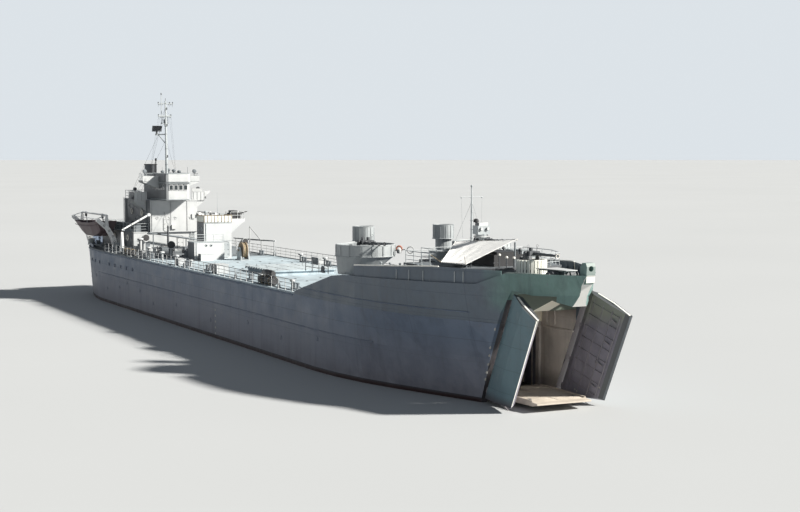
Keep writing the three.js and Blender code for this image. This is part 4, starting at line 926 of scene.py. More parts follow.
for word, s in SIDES:
    at = door_frame(s)
    body = f"{word}_bow_door"
    inner = Kit(f"{word}_door_frames", "door_inner", body, "hull_paint", bevel=0.02)
    # deep horizontal webs and vertical frames on the inner face
    for k in range(9):
        t = 1.35 + k * 0.98
        inner.beam(at(0.95, t - 0.18, -0.425), at(4.15, t + 0.35, -0.365), 0.09, 0.02, up=(0, 0, 1))
    for along in (1.2, 2.2, 3.2, 4.1):
        lo = 0.75 + (along - 0.8) * 0.52
        hi = 9.5 + (along - 0.8) * 0.1
        inner.beam(at(along, lo + 0.1, -0.43), at(along, hi - 0.15, -0.4), 0.05, 0.06, up=(0, s, 0))
    inner.done()
    fittings = Kit(f"{word}_door_fittings", "door_inner", body, "dark_metal", bevel=0.01)
    # dogs along the leading edge and lugs near the foot
    for k in range(4):
        t = 3.3 + k * 1.9
        fittings.beam(at(3.5, t, -0.45), at(3.84, t, -0.42), 0.11, 0.08)
        fittings.lathe(at(3.42, t, -0.4), (0, -s, 0), [(0.07, 0), (0.07, 0.1), (0.03, 0.12), (0, 0.12)], 8)
    for t in (1.0, 3.4, 6.4, 8.6):
        fittings.lathe(at(0.2, t - 0.22, -0.06), (math.sin(RAKE), 0, math.cos(RAKE)), [(0.09, 0), (0.105, 0.02), (0.105, 0.42), (0.09, 0.44)], 12)
    fittings.ring(at(3.2, 5.2, -0.47), (0, s, 0), 0.14, 0.03, 14, 6)
    fittings.done()
    edge_strip = Kit(f"{word}_door_edges", "lip", body, "white_paint", bevel=0.01)
    # painted highlight: a bright lip along the upper edge, and a thinner one down the leading edge, pale on the
    # starboard door and mid grey on the port door
    edge_strip.beam(at(0.9, 9.64, 0.0), at(2.6, 9.86, 0.06), 0.15, 0.06, up=(0, 0, 1))
    edge_strip.beam(at(2.6, 9.86, 0.06), at(4.6, 10.07, -0.1), 0.15, 0.06, up=(0, 0, 1))
    edge_strip.done()
    leading = Kit(f"{word}_door_leading_edges", "lip" if s < 0 else "mid", body, "white_paint", bevel=0.01)
    bevel = at(0.697, 0, -0.717) - at(0, 0, 0)
    leading.beam(at(4.632, 2.68, -0.005), at(4.632, 10.0, -0.005), 0.15, 0.03, up=bevel)
    leading.done()
    marks = Kit(f"{word}_door_marks", "mark", body, "white_paint")
    if s > 0:
        for along, t in ((2.0, 1.85), (2.25, 1.85), (4.3, 3.6)):
            marks.lathe(at(along, t, -0.47), (0, -s, 0), [(0.07, 0), (0.07, 0.03), (0, 0.035)], 10)
    else:
        for along, t in ((2.0, 2.1), (2.3, 2.1)):
            marks.lathe(at(along, t, -0.47), (0, -s, 0), [(0.07, 0), (0.07, 0.03), (0, 0.035)], 10)
    marks.done()

marks = Kit("well_marks", "mark", slot="white_paint")
for x, z in ((109.84, 6.14), (109.16, 4.71), (108.75, 4.05), (108.34, 3.32), (108.14, 2.68), (107.79, 2.1)):
    for _, s in SIDES:
        marks.lathe((x - 0.15, s * 2.95, z), (0, -s, 0), [(0.08, 0), (0.08, 0.03), (0, 0.035)], 10)
marks.done()

# ------------------------------------------------------------------ ramp: treads, kerbs, hinge lugs
treads = Kit("ramp_treads", "ramp", "bow_ramp", "dark_metal", bevel=0.01)
for k in range(24):
    x = 105.75 + k * 0.285
    w = 2.42 if x < 107.8 else 2.42 - (x - 107.8) / 4.6 * 0.22
    treads.beam((x, -w, 0.755), (x, -0.12, 0.755), 0.06, 0.04)
    treads.beam((x, 0.12, 0.755), (x, w, 0.755), 0.06, 0.04)
for s in (-1, 1):
    treads.beam((105.7, s * 2.49, 0.8), (107.8, s * 2.49, 0.8), 0.08, 0.14)
    treads.beam((107.8, s * 2.49, 0.8), (112.3, s * 2.25, 0.8), 0.08, 0.14)
treads.beam((105.6, 0, 0.755), (112.3, 0, 0.755), 0.14, 0.035)
for y in (-2.3, -1.4, -0.5, 0.5, 1.4, 2.3):
    treads.box(105.15, 105.75, y - 0.1, y + 0.1, 0.6, 0.79)
treads.done()
eyes = Kit("ramp_eyes", "dark", "bow_ramp", "dark_metal")
for s in (-1, 1):
    eyes.ring((111.3, s * 1.9, 0.795), (0, 0, 1), 0.13, 0.03, 16, 6)
    eyes.beam((111.12, s * 1.9, 0.77), (111.3, s * 1.9, 0.77), 0.16, 0.07)
eyes.done()

# ------------------------------------------------------------------ forecastle and bow
fore_gear = Kit("forecastle_gear", "mid", slot="dark_metal", bevel=0.015)
for _, s in SIDES:
    bitts(fore_gear, 111.0, s * 1.9, deck(111.0, s * 1.9) , size=0.9)
    bitts(fore_gear, 94.4, s * 6.9, deck(94.4, s * 6.9), size=0.9)
    bitts(fore_gear, 84.8, s * 7.2, deck(84.8, s * 7.2), size=0.9)
    # chocks on the edge
    for x in (86.6, 96.2, 103.6):
        z = FORE_Z(x)
        y = side(x, z, s) - s * 0.3
        fore_gear.ring((x, y, z + 0.24), (0, 1, 0), 0.22, 0.09, 16, 8)
        fore_gear.box(x - 0.32, x + 0.32, y - 0.12, y + 0.12, z - 0.03, z + 0.1)
    # bulwark stays inside the bow
    for x in (108.6, 109.6, 110.6, 111.6, 112.6, 113.6):
        z0, z1 = deck(x, s * 0.5), 9.95
        got = meet((x, s * 14, 9.7), (0, -s, 0), "forecastle")
        if got and z1 - z0 > 0.3 and abs(got[0].y) > 0.9:
            y = got[0].y
            fore_gear.prism([(x, y - s * 0.1, z1), (x, y - s * 0.1, z0), (x, y - s * 0.5, z0)], (0.05, 0, 0))
fore_gear.done()

# a screen of dark plating on the forecastle's edge with a pale cap, stayed from inside; the cap's pale paint is a
# painted highlight
screens = Kit("forecastle_screens", "fore", slot="hull_paint")
screen_caps = Kit("forecastle_screen_caps", "lip", slot="white_paint")
posts = Kit("forecastle_screen_posts", "grey", slot="house_paint")
for _, s in SIDES:
    line = []
    for k in range(22):
        x = 93.6 + 16.8 * k / 21
        z = FORE_Z(x)
        line.append((x, s * (abs(side(x, z, s)) - 0.16), z, min(10.18, 9.62 + (x - 93.6) / 11.4 * 0.6)))
    for (xa, ya, za, ta), (xb, yb, zb, tb) in zip(line, line[1:]):
        screens.prism([(xa, ya, za - 0.04), (xb, yb, zb - 0.04), (xb, yb, tb), (xa, ya, ta)], (0, -s * 0.05, 0))
    for xa, ya, za, ta in line[:-2:2]:
        screens.prism([(xa, ya - s * 0.04, ta - 0.1), (xa, ya - s * 0.04, za - 0.02), (xa, ya - s * 0.42, za - 0.02)], (0.05, 0, 0))
    screen_caps.tube([(x, y - s * 0.025, t + 0.02) for x, y, z, t in line if x < 105.2], 0.055, 8)
    for x in (99.9, 101.9, 103.4, 106.0, 107.4):
        xa, ya, za, ta = min(line, key=lambda p: abs(p[0] - x))
        posts.bar((xa, ya + s * 0.03, za + 0.15), (xa, ya + s * 0.03, za + 0.95), 0.04)
screens.done()
screen_caps.done()
posts.done()

caps = Kit("bulwark_caps", "fore_light", slot="forecastle_paint", bevel=0.01)
for _, s in SIDES:
    pts = []
    for k in range(30):
        x = 108.6 + 6.6 * k / 29
        hit = meet((x, s * 12, 9.9), (0, -s, 0), "forecastle")
        y = (hit[0].y if hit else s * 3) - s * 0.06
        z = deck(x, y - s * 0.03, "forecastle", top=12)
        pts.append((x, y, z + 0.02))
    caps.tube(pts, 0.065, 8)
caps.done()

# windlass housing with its pale cover, the drum ends and chain stoppers are beside it
cover = Kit("windlass_cover", "white", slot="white_paint", bevel=0.03)
cover.prism([(110.5, -0.95, 10.22), (113.9, -0.5, 10.26), (113.9, 0.5, 10.26), (110.5, 0.95, 10.22)], (0, 0, 0.07))
cover.prism([(110.7, -0.8, 10.16), (113.7, -0.4, 10.2), (113.7, 0.4, 10.2), (110.7, 0.8, 10.16)], (0, 0, 0.08))
for x, w in ((110.8, 0.82), (113.6, 0.42)):
    for y in (-w, w):
        cover.bar((x, y, deck(x, y) - 0.02), (x, y, 10.24), 0.045)
cover.done()
wheels = Kit("windlass_heads", "dark", slot="dark_metal")
for s in (-1, 1):
    wheels.lathe((112.6, s * 0.9, 9.85), (0, s, 0), [(0.32, 0), (0.34, 0.04), (0.2, 0.1), (0.18, 0.22), (0.3, 0.3), (0.3, 0.33), (0, 0.34)], 20)
    wheels.ring((112.6, s * 0.55, 9.85), (0, 1, 0), 0.36, 0.05, 22, 6)
    wheels.lathe((111.6, s * 0.45, 9.5), (0, 0, 1), [(0.16, 0), (0.14, 0.1), (0.2, 0.3), (0.18, 0.36), (0, 0.38)], 12)
wheels.done()

# bow tub: rim, upright slats of the ready-use racks all round
slats = Kit("bow_tub_slats", "cream", slot="white_paint", bevel=0.008)
n = 26
for k in range(n):
    a = 2 * math.pi * k / n
    c, s_ = math.cos(a), math.sin(a)
    r = 1.1
    p = Vector((108.3 + c * r, s_ * r, 0))
    w = 2 * math.pi * r / n * 0.74
    t = Vector((-s_, c, 0))
    o = Vector((c, s_, 0)) * 0.07
    slats.prism([p - t * w / 2 + Vector((0, 0, 9.72)), p + t * w / 2 + Vector((0, 0, 9.72)), p + t * w / 2 + Vector((0, 0, 10.76)), p - t * w / 2 + Vector((0, 0, 10.76))], o)
slats.done()
tub_trim = Kit("bow_tub_rims", "cream", slot="house_paint")
tub_trim.ring((108.3, 0, 10.75), (0, 0, 1), 1.06, 0.03, 36, 8)
tub_trim.ring((108.3, 0, 9.74), (0, 0, 1), 1.12, 0.04, 36, 6)
tub_trim.done()
backing = Kit("bow_tub_backing", "mid", slot="house_paint")
backing.lathe((108.3, 0, 9.75), (0, 0, 1), [(0.95, 0), (1.09, 0), (1.09, 0.32), (0.95, 0.32)], 36)
backing.done()

# side gun tubs: rims, stiffening ribs, foot rails
ribs = Kit("gun_tub_trim", "tub", slot="house_paint", bevel=0.0)
for _, s in SIDES:
    ribs.ring((90.65, s * 5.55, 11.1), (0, 0, 1), 2.45, 0.06, 40, 8)
    ribs.ring((90.65, s * 5.55, 10.18), (0, 0, 1), 2.52, 0.04, 40, 6)
    for k in range(16):
        a = 2 * math.pi * (k + 0.5) / 16
        c, s_ = math.cos(a), math.sin(a)
        ribs.beam((90.65 + c * 2.53, s * 5.55 + s_ * 2.53, 10.2), (90.65 + c * 2.53, s * 5.55 + s_ * 2.53, 11.06), 0.025, 0.045, up=(c, s_, 0))
    ribs.ring((86.7, s * 3.9, 12.4), (0, 0, 1), 0.92, 0.045, 28, 6)
    for k in range(12):
        a = 2 * math.pi * (k + 0.5) / 12
        c, s_ = math.cos(a), math.sin(a)
        ribs.beam((86.7 + c * 0.95, s * 3.9 + s_ * 0.95, 11.2), (86.7 + c * 0.95, s * 3.9 + s_ * 0.95, 12.36), 0.022, 0.04, up=(c, s_, 0))
    ribs.ring((86.7, s * 3.9, 11.2), (0, 0, 1), 0.97, 0.04, 28, 6)
ribs.done()
tub_bits = Kit("gun_tub_ladders", "mid", slot="dark_metal")
for _, s in SIDES:
    ladder(tub_bits, 88.17, s * 5.2, 8.62, 11.1, (-1, 0))
    ladder(tub_bits, 85.96, s * 3.9, 6.5, 11.2, (-1, 0))
    # ready-use lockers round the inside of the tub
    for k in range(9):
        a = math.radians(40 + k * 35)
        c, s_ = math.cos(a), math.sin(a)
        p = Vector((90.65 + c * 2.2, s * (5.55 + s_ * 2.2), 10.32))
        tub_bits.beam(p, p + Vector((0, 0, 0.5)), 0.5, 0.22, up=(c, s * s_, 0))
tub_bits.done()
lamp = Kit("tub_lamp", "white", slot="white_paint")
lamp.beam((92.3, -3.6, 10.62), (92.9, -2.95, 10.72), 0.07, 0.07)
lamp.ring((93.2, -2.6, 10.7), (0.8, -0.5, 0.1), 0.27, 0.045, 22, 8)
lamp.lathe((92.6, -3.35, 10.4), (0, 0, 1), [(0.16, 0), (0.2, 0.08), (0.2, 0.34), (0.1, 0.42), (0, 0.44)], 14)
lamp.done()
float_red = Kit("tub_life_ring", "orange", slot="white_paint")
life_ring(float_red, (92.5, -3.3, 10.78), (0.85, -0.5, 0), 0.22)
float_red.done()


def gun_dress(prefix, carriage, barrel, x, y, z, w, h, length, pair, tip="dark", reach=0.3):
    """Mount details: shield ring, seats, handwheels, sights; and on the cradle the springs, breech and flash cones."""
    g = Kit(f"{prefix}_mount_details", "dark", carriage, "dark_metal", bevel=0.008)
    c = z + h
    g.lathe((x, y, z + 0.02), (0, 0, 1), [(0.62, 0), (0.62, 0.05), (0.5, 0.09)], 24)
    for s in (-1, 1):
        # trunnion caps and the layers' seats
        g.lathe((x, y + s * (w - 0.02), c), (0, s, 0), [(0.14, 0), (0.14, 0.07), (0.06, 0.09), (0, 0.09)], 14)
        g.beam((x - 0.25, y + s * (w + 0.02), z + 0.46), (x - 0.6, y + s * (w + reach), z + 0.42), 0.07, 0.05)
        g.lathe((x - 0.62, y + s * (w + reach + 0.02), z + 0.42), (0, 0, 1), [(0.16, 0), (0.19, 0.03), (0.17, 0.07), (0, 0.08)], 14)
        g.beam((x - 0.78, y + s * (w + reach + 0.02), z + 0.48), (x - 0.84, y + s * (w + reach + 0.02), z + 0.78), 0.28, 0.04, up=(1, 0, 0))
        g.bar((x - 0.3, y + s * (w + 0.05), z + 0.3), (x + 0.2, y + s * (w + reach + 0.12), z + 0.16), 0.03)
        g.ring((x + 0.1, y + s * (w + 0.1), z + 0.86), (0.2, s, 0), 0.13, 0.02, 16, 6)
        g.bar((x + 0.1, y + s * w, z + 0.86), (x + 0.1, y + s * (w + 0.16), z + 0.86), 0.03)
    g.done()
    b = Kit(f"{prefix}_barrel_details", "dark", barrel, "dark_metal", bevel=0.006)
    for dy in pair:
        yy = y + dy
        b.box(x - 0.4, x - 0.28, yy - 0.08, yy + 0.08, c - 0.04, c + 0.15)
        b.box(x - 0.28, x + 0.1, yy - 0.07, yy + 0.07, c + 0.16, c + 0.42)
        for k in range(11):
            xx = x + 0.62 + k * 0.055
            b.ring((xx, yy, c), (1, 0, 0), 0.115 if length > 3 else 0.085, 0.018, 14, 5)
        b.lathe((x + 0.48, yy, c), (1, 0, 0), [(0.15, 0), (0.15, 0.1), (0.1, 0.14)], 14)
        b.lathe((x + 1.22, yy, c), (1, 0, 0), [(0.13, 0), (0.14, 0.05), (0.1, 0.12)], 14)
    for s in (-1, 1):
        b.bar((x + 0.1, y + s * (w - 0.2), c + 0.16), (x + 0.15, y + s * (w - 0.2), c + 0.5), 0.02)
        b.ring((x + 0.18, y + s * (w - 0.2), c + 0.56), (1, 0, 0), 0.1, 0.012, 16, 5)
    b.done()
    f = Kit(f"{prefix}_flash_cones", tip, barrel, "dark_metal")
    for dy in pair:
        f.lathe((x + length - 0.06, y + dy, c), (1, 0, 0), [(0.075, 0), (0.09, 0.05), (0.16, 0.24), (0.165, 0.27), (0.13, 0.26), (0.07, 0.1), (0, 0.1)], 16)
    f.done()


gun_dress("bow_gun", "bow_gun_carriage", "bow_gun_barrel", 108.3, 0, 10.204, 0.6, 1.02, 3.5, (0,), "ring", reach=-0.22)
for word, s in SIDES:
    gun_dress(f"{word}_gun", f"{word}_gun_carriage", f"{word}_gun_barrels", 90.75, s * 5.55, 10.304, 0.7, 0.98, 2.9, (-0.25, 0.25))

# ------------------------------------------------------------------ platform and what stands on it
plat = Kit("platform_edge", "dark", slot="white_paint", bevel=0.01)
outline = [(95.2, -2.75), (97.9, -2.75), (97.9, -5.5), (102.6, -5.5), (105.6, -4.3), (106.4, -2.2), (106.4, 2.2), (105.6, 4.3), (102.6, 5.5), (97.9, 5.5), (97.9, 2.75), (95.2, 2.75)]
for (xa, ya), (xb, yb) in zip(outline, outline[1:] + outline[:1]):
    d = Vector((xb - xa, yb - ya, 0)).normalized()
    o = Vector((d.y, -d.x, 0)) * 0.03
    plat.beam((xa + o.x, ya + o.y, 9.95), (xb + o.x, yb + o.y, 9.95), 0.06, 0.2)
plat.done()
frames = Kit("platform_frames", "mid", slot="house_paint")
for x in [96.0 + 1.15 * k for k in range(9)]:
    w = 2.7 if x < 97.9 else 5.35 if x < 102.6 else 5.35 - (x - 102.6) * 0.4
    frames.beam((x, -w, 9.78), (x, w, 9.78), 0.06, 0.14)
for y in (-4.2, 4.2):
    frames.beam((98.0, y, 9.78), (104.8, y, 9.78), 0.06, 0.14)
frames.done()
gallery = Kit("gallery_gear", "mid", slot="house_paint", bevel=0.01)
rg = random.Random(5)
for _, s in SIDES:
    for x in (97.4, 99.0, 101.1, 103.0):
        z = FORE_Z(x)
        y = s * (3.0 + rg.random() * 0.4)
        locker(gallery, x - 0.45, x + 0.4, y - 0.3, y + 0.3, z, z + 0.6 + rg.random() * 0.5)
    gallery.tube([(96.4, s * 2.62, 9.5), (105.0, s * 2.62, 9.5)], 0.05, 8)
    gallery.tube([(96.4, s * 2.62, 9.3), (100.0, s * 2.62, 9.3), (100.0, s * 2.62, 8.9)], 0.04, 8)
gallery.done()
pale = Kit("gallery_stanchions", "grey", slot="house_paint")
for x, y in ((95.9, -6.6), (97.2, -6.4), (98.6, -6.2), (99.9, -6.4), (101.3, -6.0)):
    z = FORE_Z(x)
    pale.bar((x, y, z), (x, y, z + 1.15), 0.06)
    pale.lathe((x, y, z + 1.15), (0, 0, 1), [(0.06, 0), (0.11, 0.05), (0.11, 0.14), (0, 0.18)], 10)
pale.done()
doors_fw = Kit("forward_house_doors", "mid", slot="house_paint", bevel=0.008)
knobs_fw = Kit("forward_house_dogs", "dark", slot="dark_metal")
door(doors_fw, knobs_fw, 105.2, -1.3, FORE_Z(105) - 0.02, (1, 0), 0.6, 0.95)
door(doors_fw, knobs_fw, 105.2, 1.3, FORE_Z(105) - 0.02, (1, 0), 0.6, 0.95)
doors_fw.done()
knobs_fw.done()
vents_fw = Kit("platform_vents", "dark", slot="white_paint")
heads_fw = Kit("platform_vent_heads", "ring", slot="white_paint")
for x, y, h in ((103.9, -3.55, 0.42), (104.35, -3.0, 0.4), (105.75, -1.3, 0.95), (105.9, -0.75, 0.75), (106.05, -0.2, 0.7)):
    vents_fw.bar((x, y, pz), (x, y, pz + h), 0.05)
    heads_fw.lathe((x, y, pz + h - 0.03), (0, 0, 1), [(0.06, 0), (0.11, 0.02), (0.12, 0.1), (0.08, 0.16), (0, 0.18)], 12)
heads_fw.done()
for x, y, h in ((96.3, 1.2, 1.3), (97.0, -0.6, 0.7), (95.9, 2.2, 0.9), (98.6, 3.2, 1.1), (101.6, 2.1, 1.0), (102.6, 2.4, 1.2), (103.4, 2.7, 1.0)):
    vent(vents_fw, x, y, pz, h, 0.08, 0.17)
vents_fw.done()
fw = Kit("platform_lockers", "grey", slot="house_paint", bevel=0.012)
locker(fw, 95.8, 97.2, -2.2, -1.0, pz, pz + 0.8)
locker(fw, 98.2, 99.4, 3.6, 4.6, pz, pz + 0.9)
locker(fw, 100.0, 101.2, 3.4, 4.4, pz, pz + 1.0)
locker(fw, 103.2, 104.2, 2.5, 3.3, pz, pz + 0.75)
fw.done()
# director: sights, hood and handles on the forward pedestal
dirk = Kit("forward_director_details", "white", slot="house_paint", bevel=0.015)
dirk.box(99.6, 100.25, -0.02, 0.82, 12.92, 13.2)
dirk.lathe((100.32, 0.12, 12.7), (1, 0, 0), [(0.13, 0), (0.13, 0.16), (0.1, 0.18), (0, 0.17)], 14)
dirk.lathe((100.32, 0.68, 12.7), (1, 0, 0), [(0.13, 0), (0.13, 0.16), (0.1, 0.18), (0, 0.17)], 14)
dirk.ring((99.9, 0.4, 12.1), (0, 0, 1), 0.62, 0.035, 24, 6)
for k in range(3):
    a = math.radians(90 + 120 * k)
    dirk.bar((99.9 + 0.42 * math.cos(a), 0.4 + 0.42 * math.sin(a), 12.05), (99.9 + 0.63 * math.cos(a), 0.4 + 0.63 * math.sin(a), 12.1), 0.025)
dirk.done()
dirk2 = Kit("forward_director_sight", "black", slot="dark_metal")
dirk2.lathe((99.7, 0.02, 13.2), (0, 0, 1), [(0.2, 0), (0.23, 0.06), (0.2, 0.22), (0.1, 0.3), (0, 0.31)], 14)
dirk2.box(99.25, 99.48, 0.0, 0.8, 12.4, 12.85)
dirk2.done()
pole = Kit("signal_pole_fittings", "grey", slot="house_paint")
pole.tube([(98.45, -0.7, 15.2), (98.45, 1.3, 15.2)], 0.03, 6)
for y in (-0.65, 1.25):
    pole.lathe((98.45, y, 15.2), (0, 0, -1), [(0.06, 0), (0.06, 0.1), (0, 0.12)], 8)
    pole.tube([(98.45, y, 15.15), (98.47, y * 0.9 + 0.05, 11.9)], 0.008, 4)
pole.lathe((98.45, 0.3, 15.98), (0, 0, 1), [(0.05, 0), (0.09, 0.05), (0.09, 0.16), (0.04, 0.2), (0, 0.2)], 12)
for z in (11.9, 12.6, 13.3):
    pole.ring((98.45, 0.3, z), (0, 0, 1), 0.13, 0.02, 14, 5)
for dx, dy in ((-1.6, 1.4), (-1.6, -1.4), (1.5, 1.0)):
    pole.tube([(98.45, 0.3, 14.8), (98.45 + dx, 0.3 + dy, 10.02)], 0.012, 4)
pole.done()

# ------------------------------------------------------------------ awning: one canvas, stretched from the ridge to the eave
RIDGE = (Vector((96.05, 0.13, 11.5)), Vector((105.95, 0.13, 12.16)))
EAVE = (Vector((102.45, -4.55, 10.32)), Vector((105.15, -3.9, 10.32)))
nu, nv = 40, 24
verts, faces = [], []
for j in range(nv + 1):
    v = j / nv
    a, b = RIDGE[0].lerp(EAVE[0], v), RIDGE[1].lerp(EAVE[1], v)
    for i in range(nu + 1):
        u = i / nu
        p = a.lerp(b, u)
        # hollowed edges between the corners, a soft sag and pull lines from the corners
        belly = 16 * u * (1 - u) * v * (1 - v)
        p = p + Vector((0, 0, -0.075 * belly))
        pull = 0.018 * math.sin(9 * math.pi * u + 2.2 * v) * (1 - v) * v * 4
        pull += 0.012 * math.sin(23 * u + 11 * v) * belly
        p = p + Vector((0, 0, pull))
        p.x += 0.10 * (4 * v * (1 - v)) * (0.5 - u) * 1.4
        p.z -= 0.05 * (4 * u * (1 - u)) * max(0, 1 - 4 * v) * 0.6
        verts.append(p)
for j in range(nv):
    for i in range(nu):
        k = j * (nu + 1) + i
        faces.append((k, k + 1, k + nu + 2, k + nu + 1))
canvas = bpy.data.meshes.new("awning_canvas")
canvas.from_pydata([P(*p) for p in verts], [], faces)
canvas.materials.append(M["canvas"])
canvas.shade_smooth()
awning = bpy.data.objects.new("awning_canvas", canvas)
scene.collection.objects.link(awning)
thick = awning.modifiers.new("cloth", "SOLIDIFY")
thick.thickness = 0.0016
thick.offset = 0
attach(awning, "hull")
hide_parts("awning")
low_edge = (EAVE[1] - EAVE[0]).length / 10
hem = Kit("awning_hem", "canvas", slot="canvas")
rim = [verts[i] for i in range(nu + 1)]
rim2 = [verts[nv * (nu + 1) + i] for i in range(nu + 1)]
left = [verts[j * (nu + 1)] for j in range(nv + 1)]
right = [verts[j * (nu + 1) + nu] for j in range(nv + 1)]
for line in (rim, rim2, left, right):
    hem.tube(line, 0.035, 6)
hem_piece = hem.done()
eyelets = Kit("awning_lacing", "rope", slot="canvas")
for line, way in ((rim2, Vector((0.1, -0.25, -0.12))), (rim, Vector((0, 0.12, 0.03)))):
    for i in range(2, nu, 4):
        p = Vector(line[i])
        eyelets.ring(p, (0, 0.3, 1), 0.05, 0.014, 10, 5)
eye_piece = eyelets.done()
ridge = Kit("awning_ridge_rope", "rope", slot="canvas")
ridge.tube([RIDGE[0] + Vector((-0.05, -0.02, -0.05)), RIDGE[1] + Vector((0.05, -0.02, -0.05))], 0.03, 6)
for e, q in ((EAVE[0], (102.1, -5.35, 10.95)), (EAVE[1], (105.55, -4.2, 10.95))):
    ridge.tube([e, q], 0.018, 5)
ridge.done()

# ------------------------------------------------------------------ main deck
deck_gear = Kit("deck_gear", "mid", slot="dark_metal", bevel=0.015)
for _, s in SIDES:
    for x in (3.4, 21.6, 33.4, 47.0, 54.0, 67.0, 78.6):
        bitts(deck_gear, x, s * (6.9 if x > 12 else 5.4), DECK, size=0.95)
    for x in (1.9, 23.4, 35.2, 48.8, 65.2, 76.8):
        y = side(x, 6.2, s) - s * 0.35
        deck_gear.ring((x, y, DECK + 0.24), (0, 1, 0), 0.2, 0.085, 16, 8)
        deck_gear.box(x - 0.3, x + 0.3, y - 0.12, y + 0.12, DECK - 0.02, DECK + 0.1)
    # waterway bar along the deck edge
    pts = [(x, side(x, 6.2, s) - s * 0.42, DECK + 0.05) for x in [16.0 + 64.5 * k / 30 for k in range(31)]]
    deck_gear.tube(pts, 0.05, 6)
deck_gear.done()

cleats = Kit("tie_down_rings", "dark", slot="dark_metal")
for x in range(44, 82, 3):
    for y in (-5.4, -3.8, 3.8, 5.4) if 54 < x < 66 else (-5.4, -2.7, 0.0, 2.7, 5.4):
        cleats.lathe((x, y, DECK), (0, 0, 1), [(0.16, 0), (0.15, 0.025), (0.07, 0.035), (0, 0.03)], 12)
        cleats.beam((x - 0.09, y, DECK + 0.045), (x + 0.09, y, DECK + 0.045), 0.03, 0.03)
cleats.done()

hatch = Kit("hatch_fittings", "grey", slot="deck_paint", bevel=0.01)
for k in range(9):
    x = 56.0 + k
    hatch.box(x - 0.035, x + 0.035, -3.42, 3.42, DECK + 0.54, DECK + 0.6)
for y in (-1.7, 0, 1.7):
    hatch.box(55.8, 64.2, y - 0.03, y + 0.03, DECK + 0.54, DECK + 0.585)
for k in range(12):
    x = 56.1 + k * 0.71
    for s in (-1, 1):
        hatch.box(x - 0.05, x + 0.05, min(s * 3.4, s * 3.56), max(s * 3.4, s * 3.56), DECK + 0.3, DECK + 0.58)
for s in (-1, 1):
    for x in (57.0, 60.0, 63.0):
        hatch.ring((x, s * 2.6, DECK + 0.66), (0, 1, 0), 0.11, 0.025, 14, 6)
hatch.done()

edge_gear = Kit("float_net_rolls", "black", slot="boat_paint")
rg = random.Random(11)
for x0, x1, y, r in ((71.2, 73.0, -7.55, 0.42), (73.1, 74.9, -7.55, 0.46), (71.8, 74.3, -7.45, 0.3)):
    z = DECK + (r if r > 0.35 else 1.12)
    pts = [(x0 + (x1 - x0) * k / 10, y + rg.uniform(-0.03, 0.03), z + rg.uniform(-0.03, 0.03)) for k in range(11)]
    edge_gear.tube(pts, [r * (0.8 + 0.24 * math.sin(math.pi * k / 10) + rg.uniform(-0.03, 0.03)) for k in range(11)], 14)
for x0, y in ((23.8, -7.35), (26.0, -7.35)):
    pts = [(x0 + 1.7 * k / 8, y + rg.uniform(-0.03, 0.03), DECK + 0.36 + rg.uniform(-0.03, 0.03)) for k in range(9)]
    edge_gear.tube(pts, [0.36 * (0.82 + 0.2 * math.sin(math.pi * k / 8)) for k in range(9)], 12)
edge_gear.done()
lashings = Kit("float_net_lashings", "rope", slot="canvas")
for x in (71.7, 72.6, 73.5, 74.4):
    lashings.ring((x, -7.55, DECK + 0.44), (1, 0, 0), 0.49, 0.022, 20, 5)
for x in (24.3, 25.1, 26.5, 27.3):
    lashings.ring((x, -7.35, DECK + 0.36), (1, 0, 0), 0.4, 0.02, 18, 5)
lashings.done()

pale_gear = Kit("deck_lockers", "white", slot="white_paint", bevel=0.015)
locker(pale_gear, 57.2, 58.7, -7.6, -6.3, DECK, DECK + 0.95)
locker(pale_gear, 44.2, 45.6, -7.5, -6.6, DECK, DECK + 0.75)
locker(pale_gear, 50.3, 52.2, 6.4, 7.5, DECK, DECK + 0.85)
locker(pale_gear, 38.9, 39.9, -3.0, -1.4, DECK, DECK + 0.8)
locker(pale_gear, 30.2, 31.6, -7.4, -6.5, DECK, DECK + 0.8)
locker(pale_gear, 68.5, 70.2, 6.4, 7.4, DECK, DECK + 0.8)
vent(pale_gear, 27.5, -6.5, DECK, 2.1, 0.2, 0.42)
vent(pale_gear, 29.0, -5.9, DECK, 1.1, 0.16, 0.32)
vent(pale_gear, 32.4, -6.2, DECK, 1.3, 0.16, 0.34)
vent(pale_gear, 36.6, -6.6, DECK, 1.0, 0.16, 0.34)
vent(pale_gear, 41.6, -6.4, DECK, 0.9, 0.14, 0.3)
for x in (46.0, 53.0, 67.5, 75.5):
    vent(pale_gear, x, 6.9, DECK, 0.95, 0.15, 0.32)
    vent(pale_gear, x + 2.2, -6.9, DECK, 0.8, 0.13, 0.28)
pale_gear.done()

cowl_pale = Kit("cowl_vents", "white", slot="white_paint")
cowl_dark = Kit("cowl_throats", "black", slot="dark_metal")
for x, y, h, a in ((24.4, -5.2, 2.5, 0.2), (24.4, 5.2, 2.5, 0.2), (32.8, 4.6, 2.0, 0.3), (32.9, -4.4, 1.8, -0.2)):
    cowl(cowl_pale, cowl_dark, x, y, DECK, h, 0.25, a)
cowl_pale.done()
cowl_dark.done()

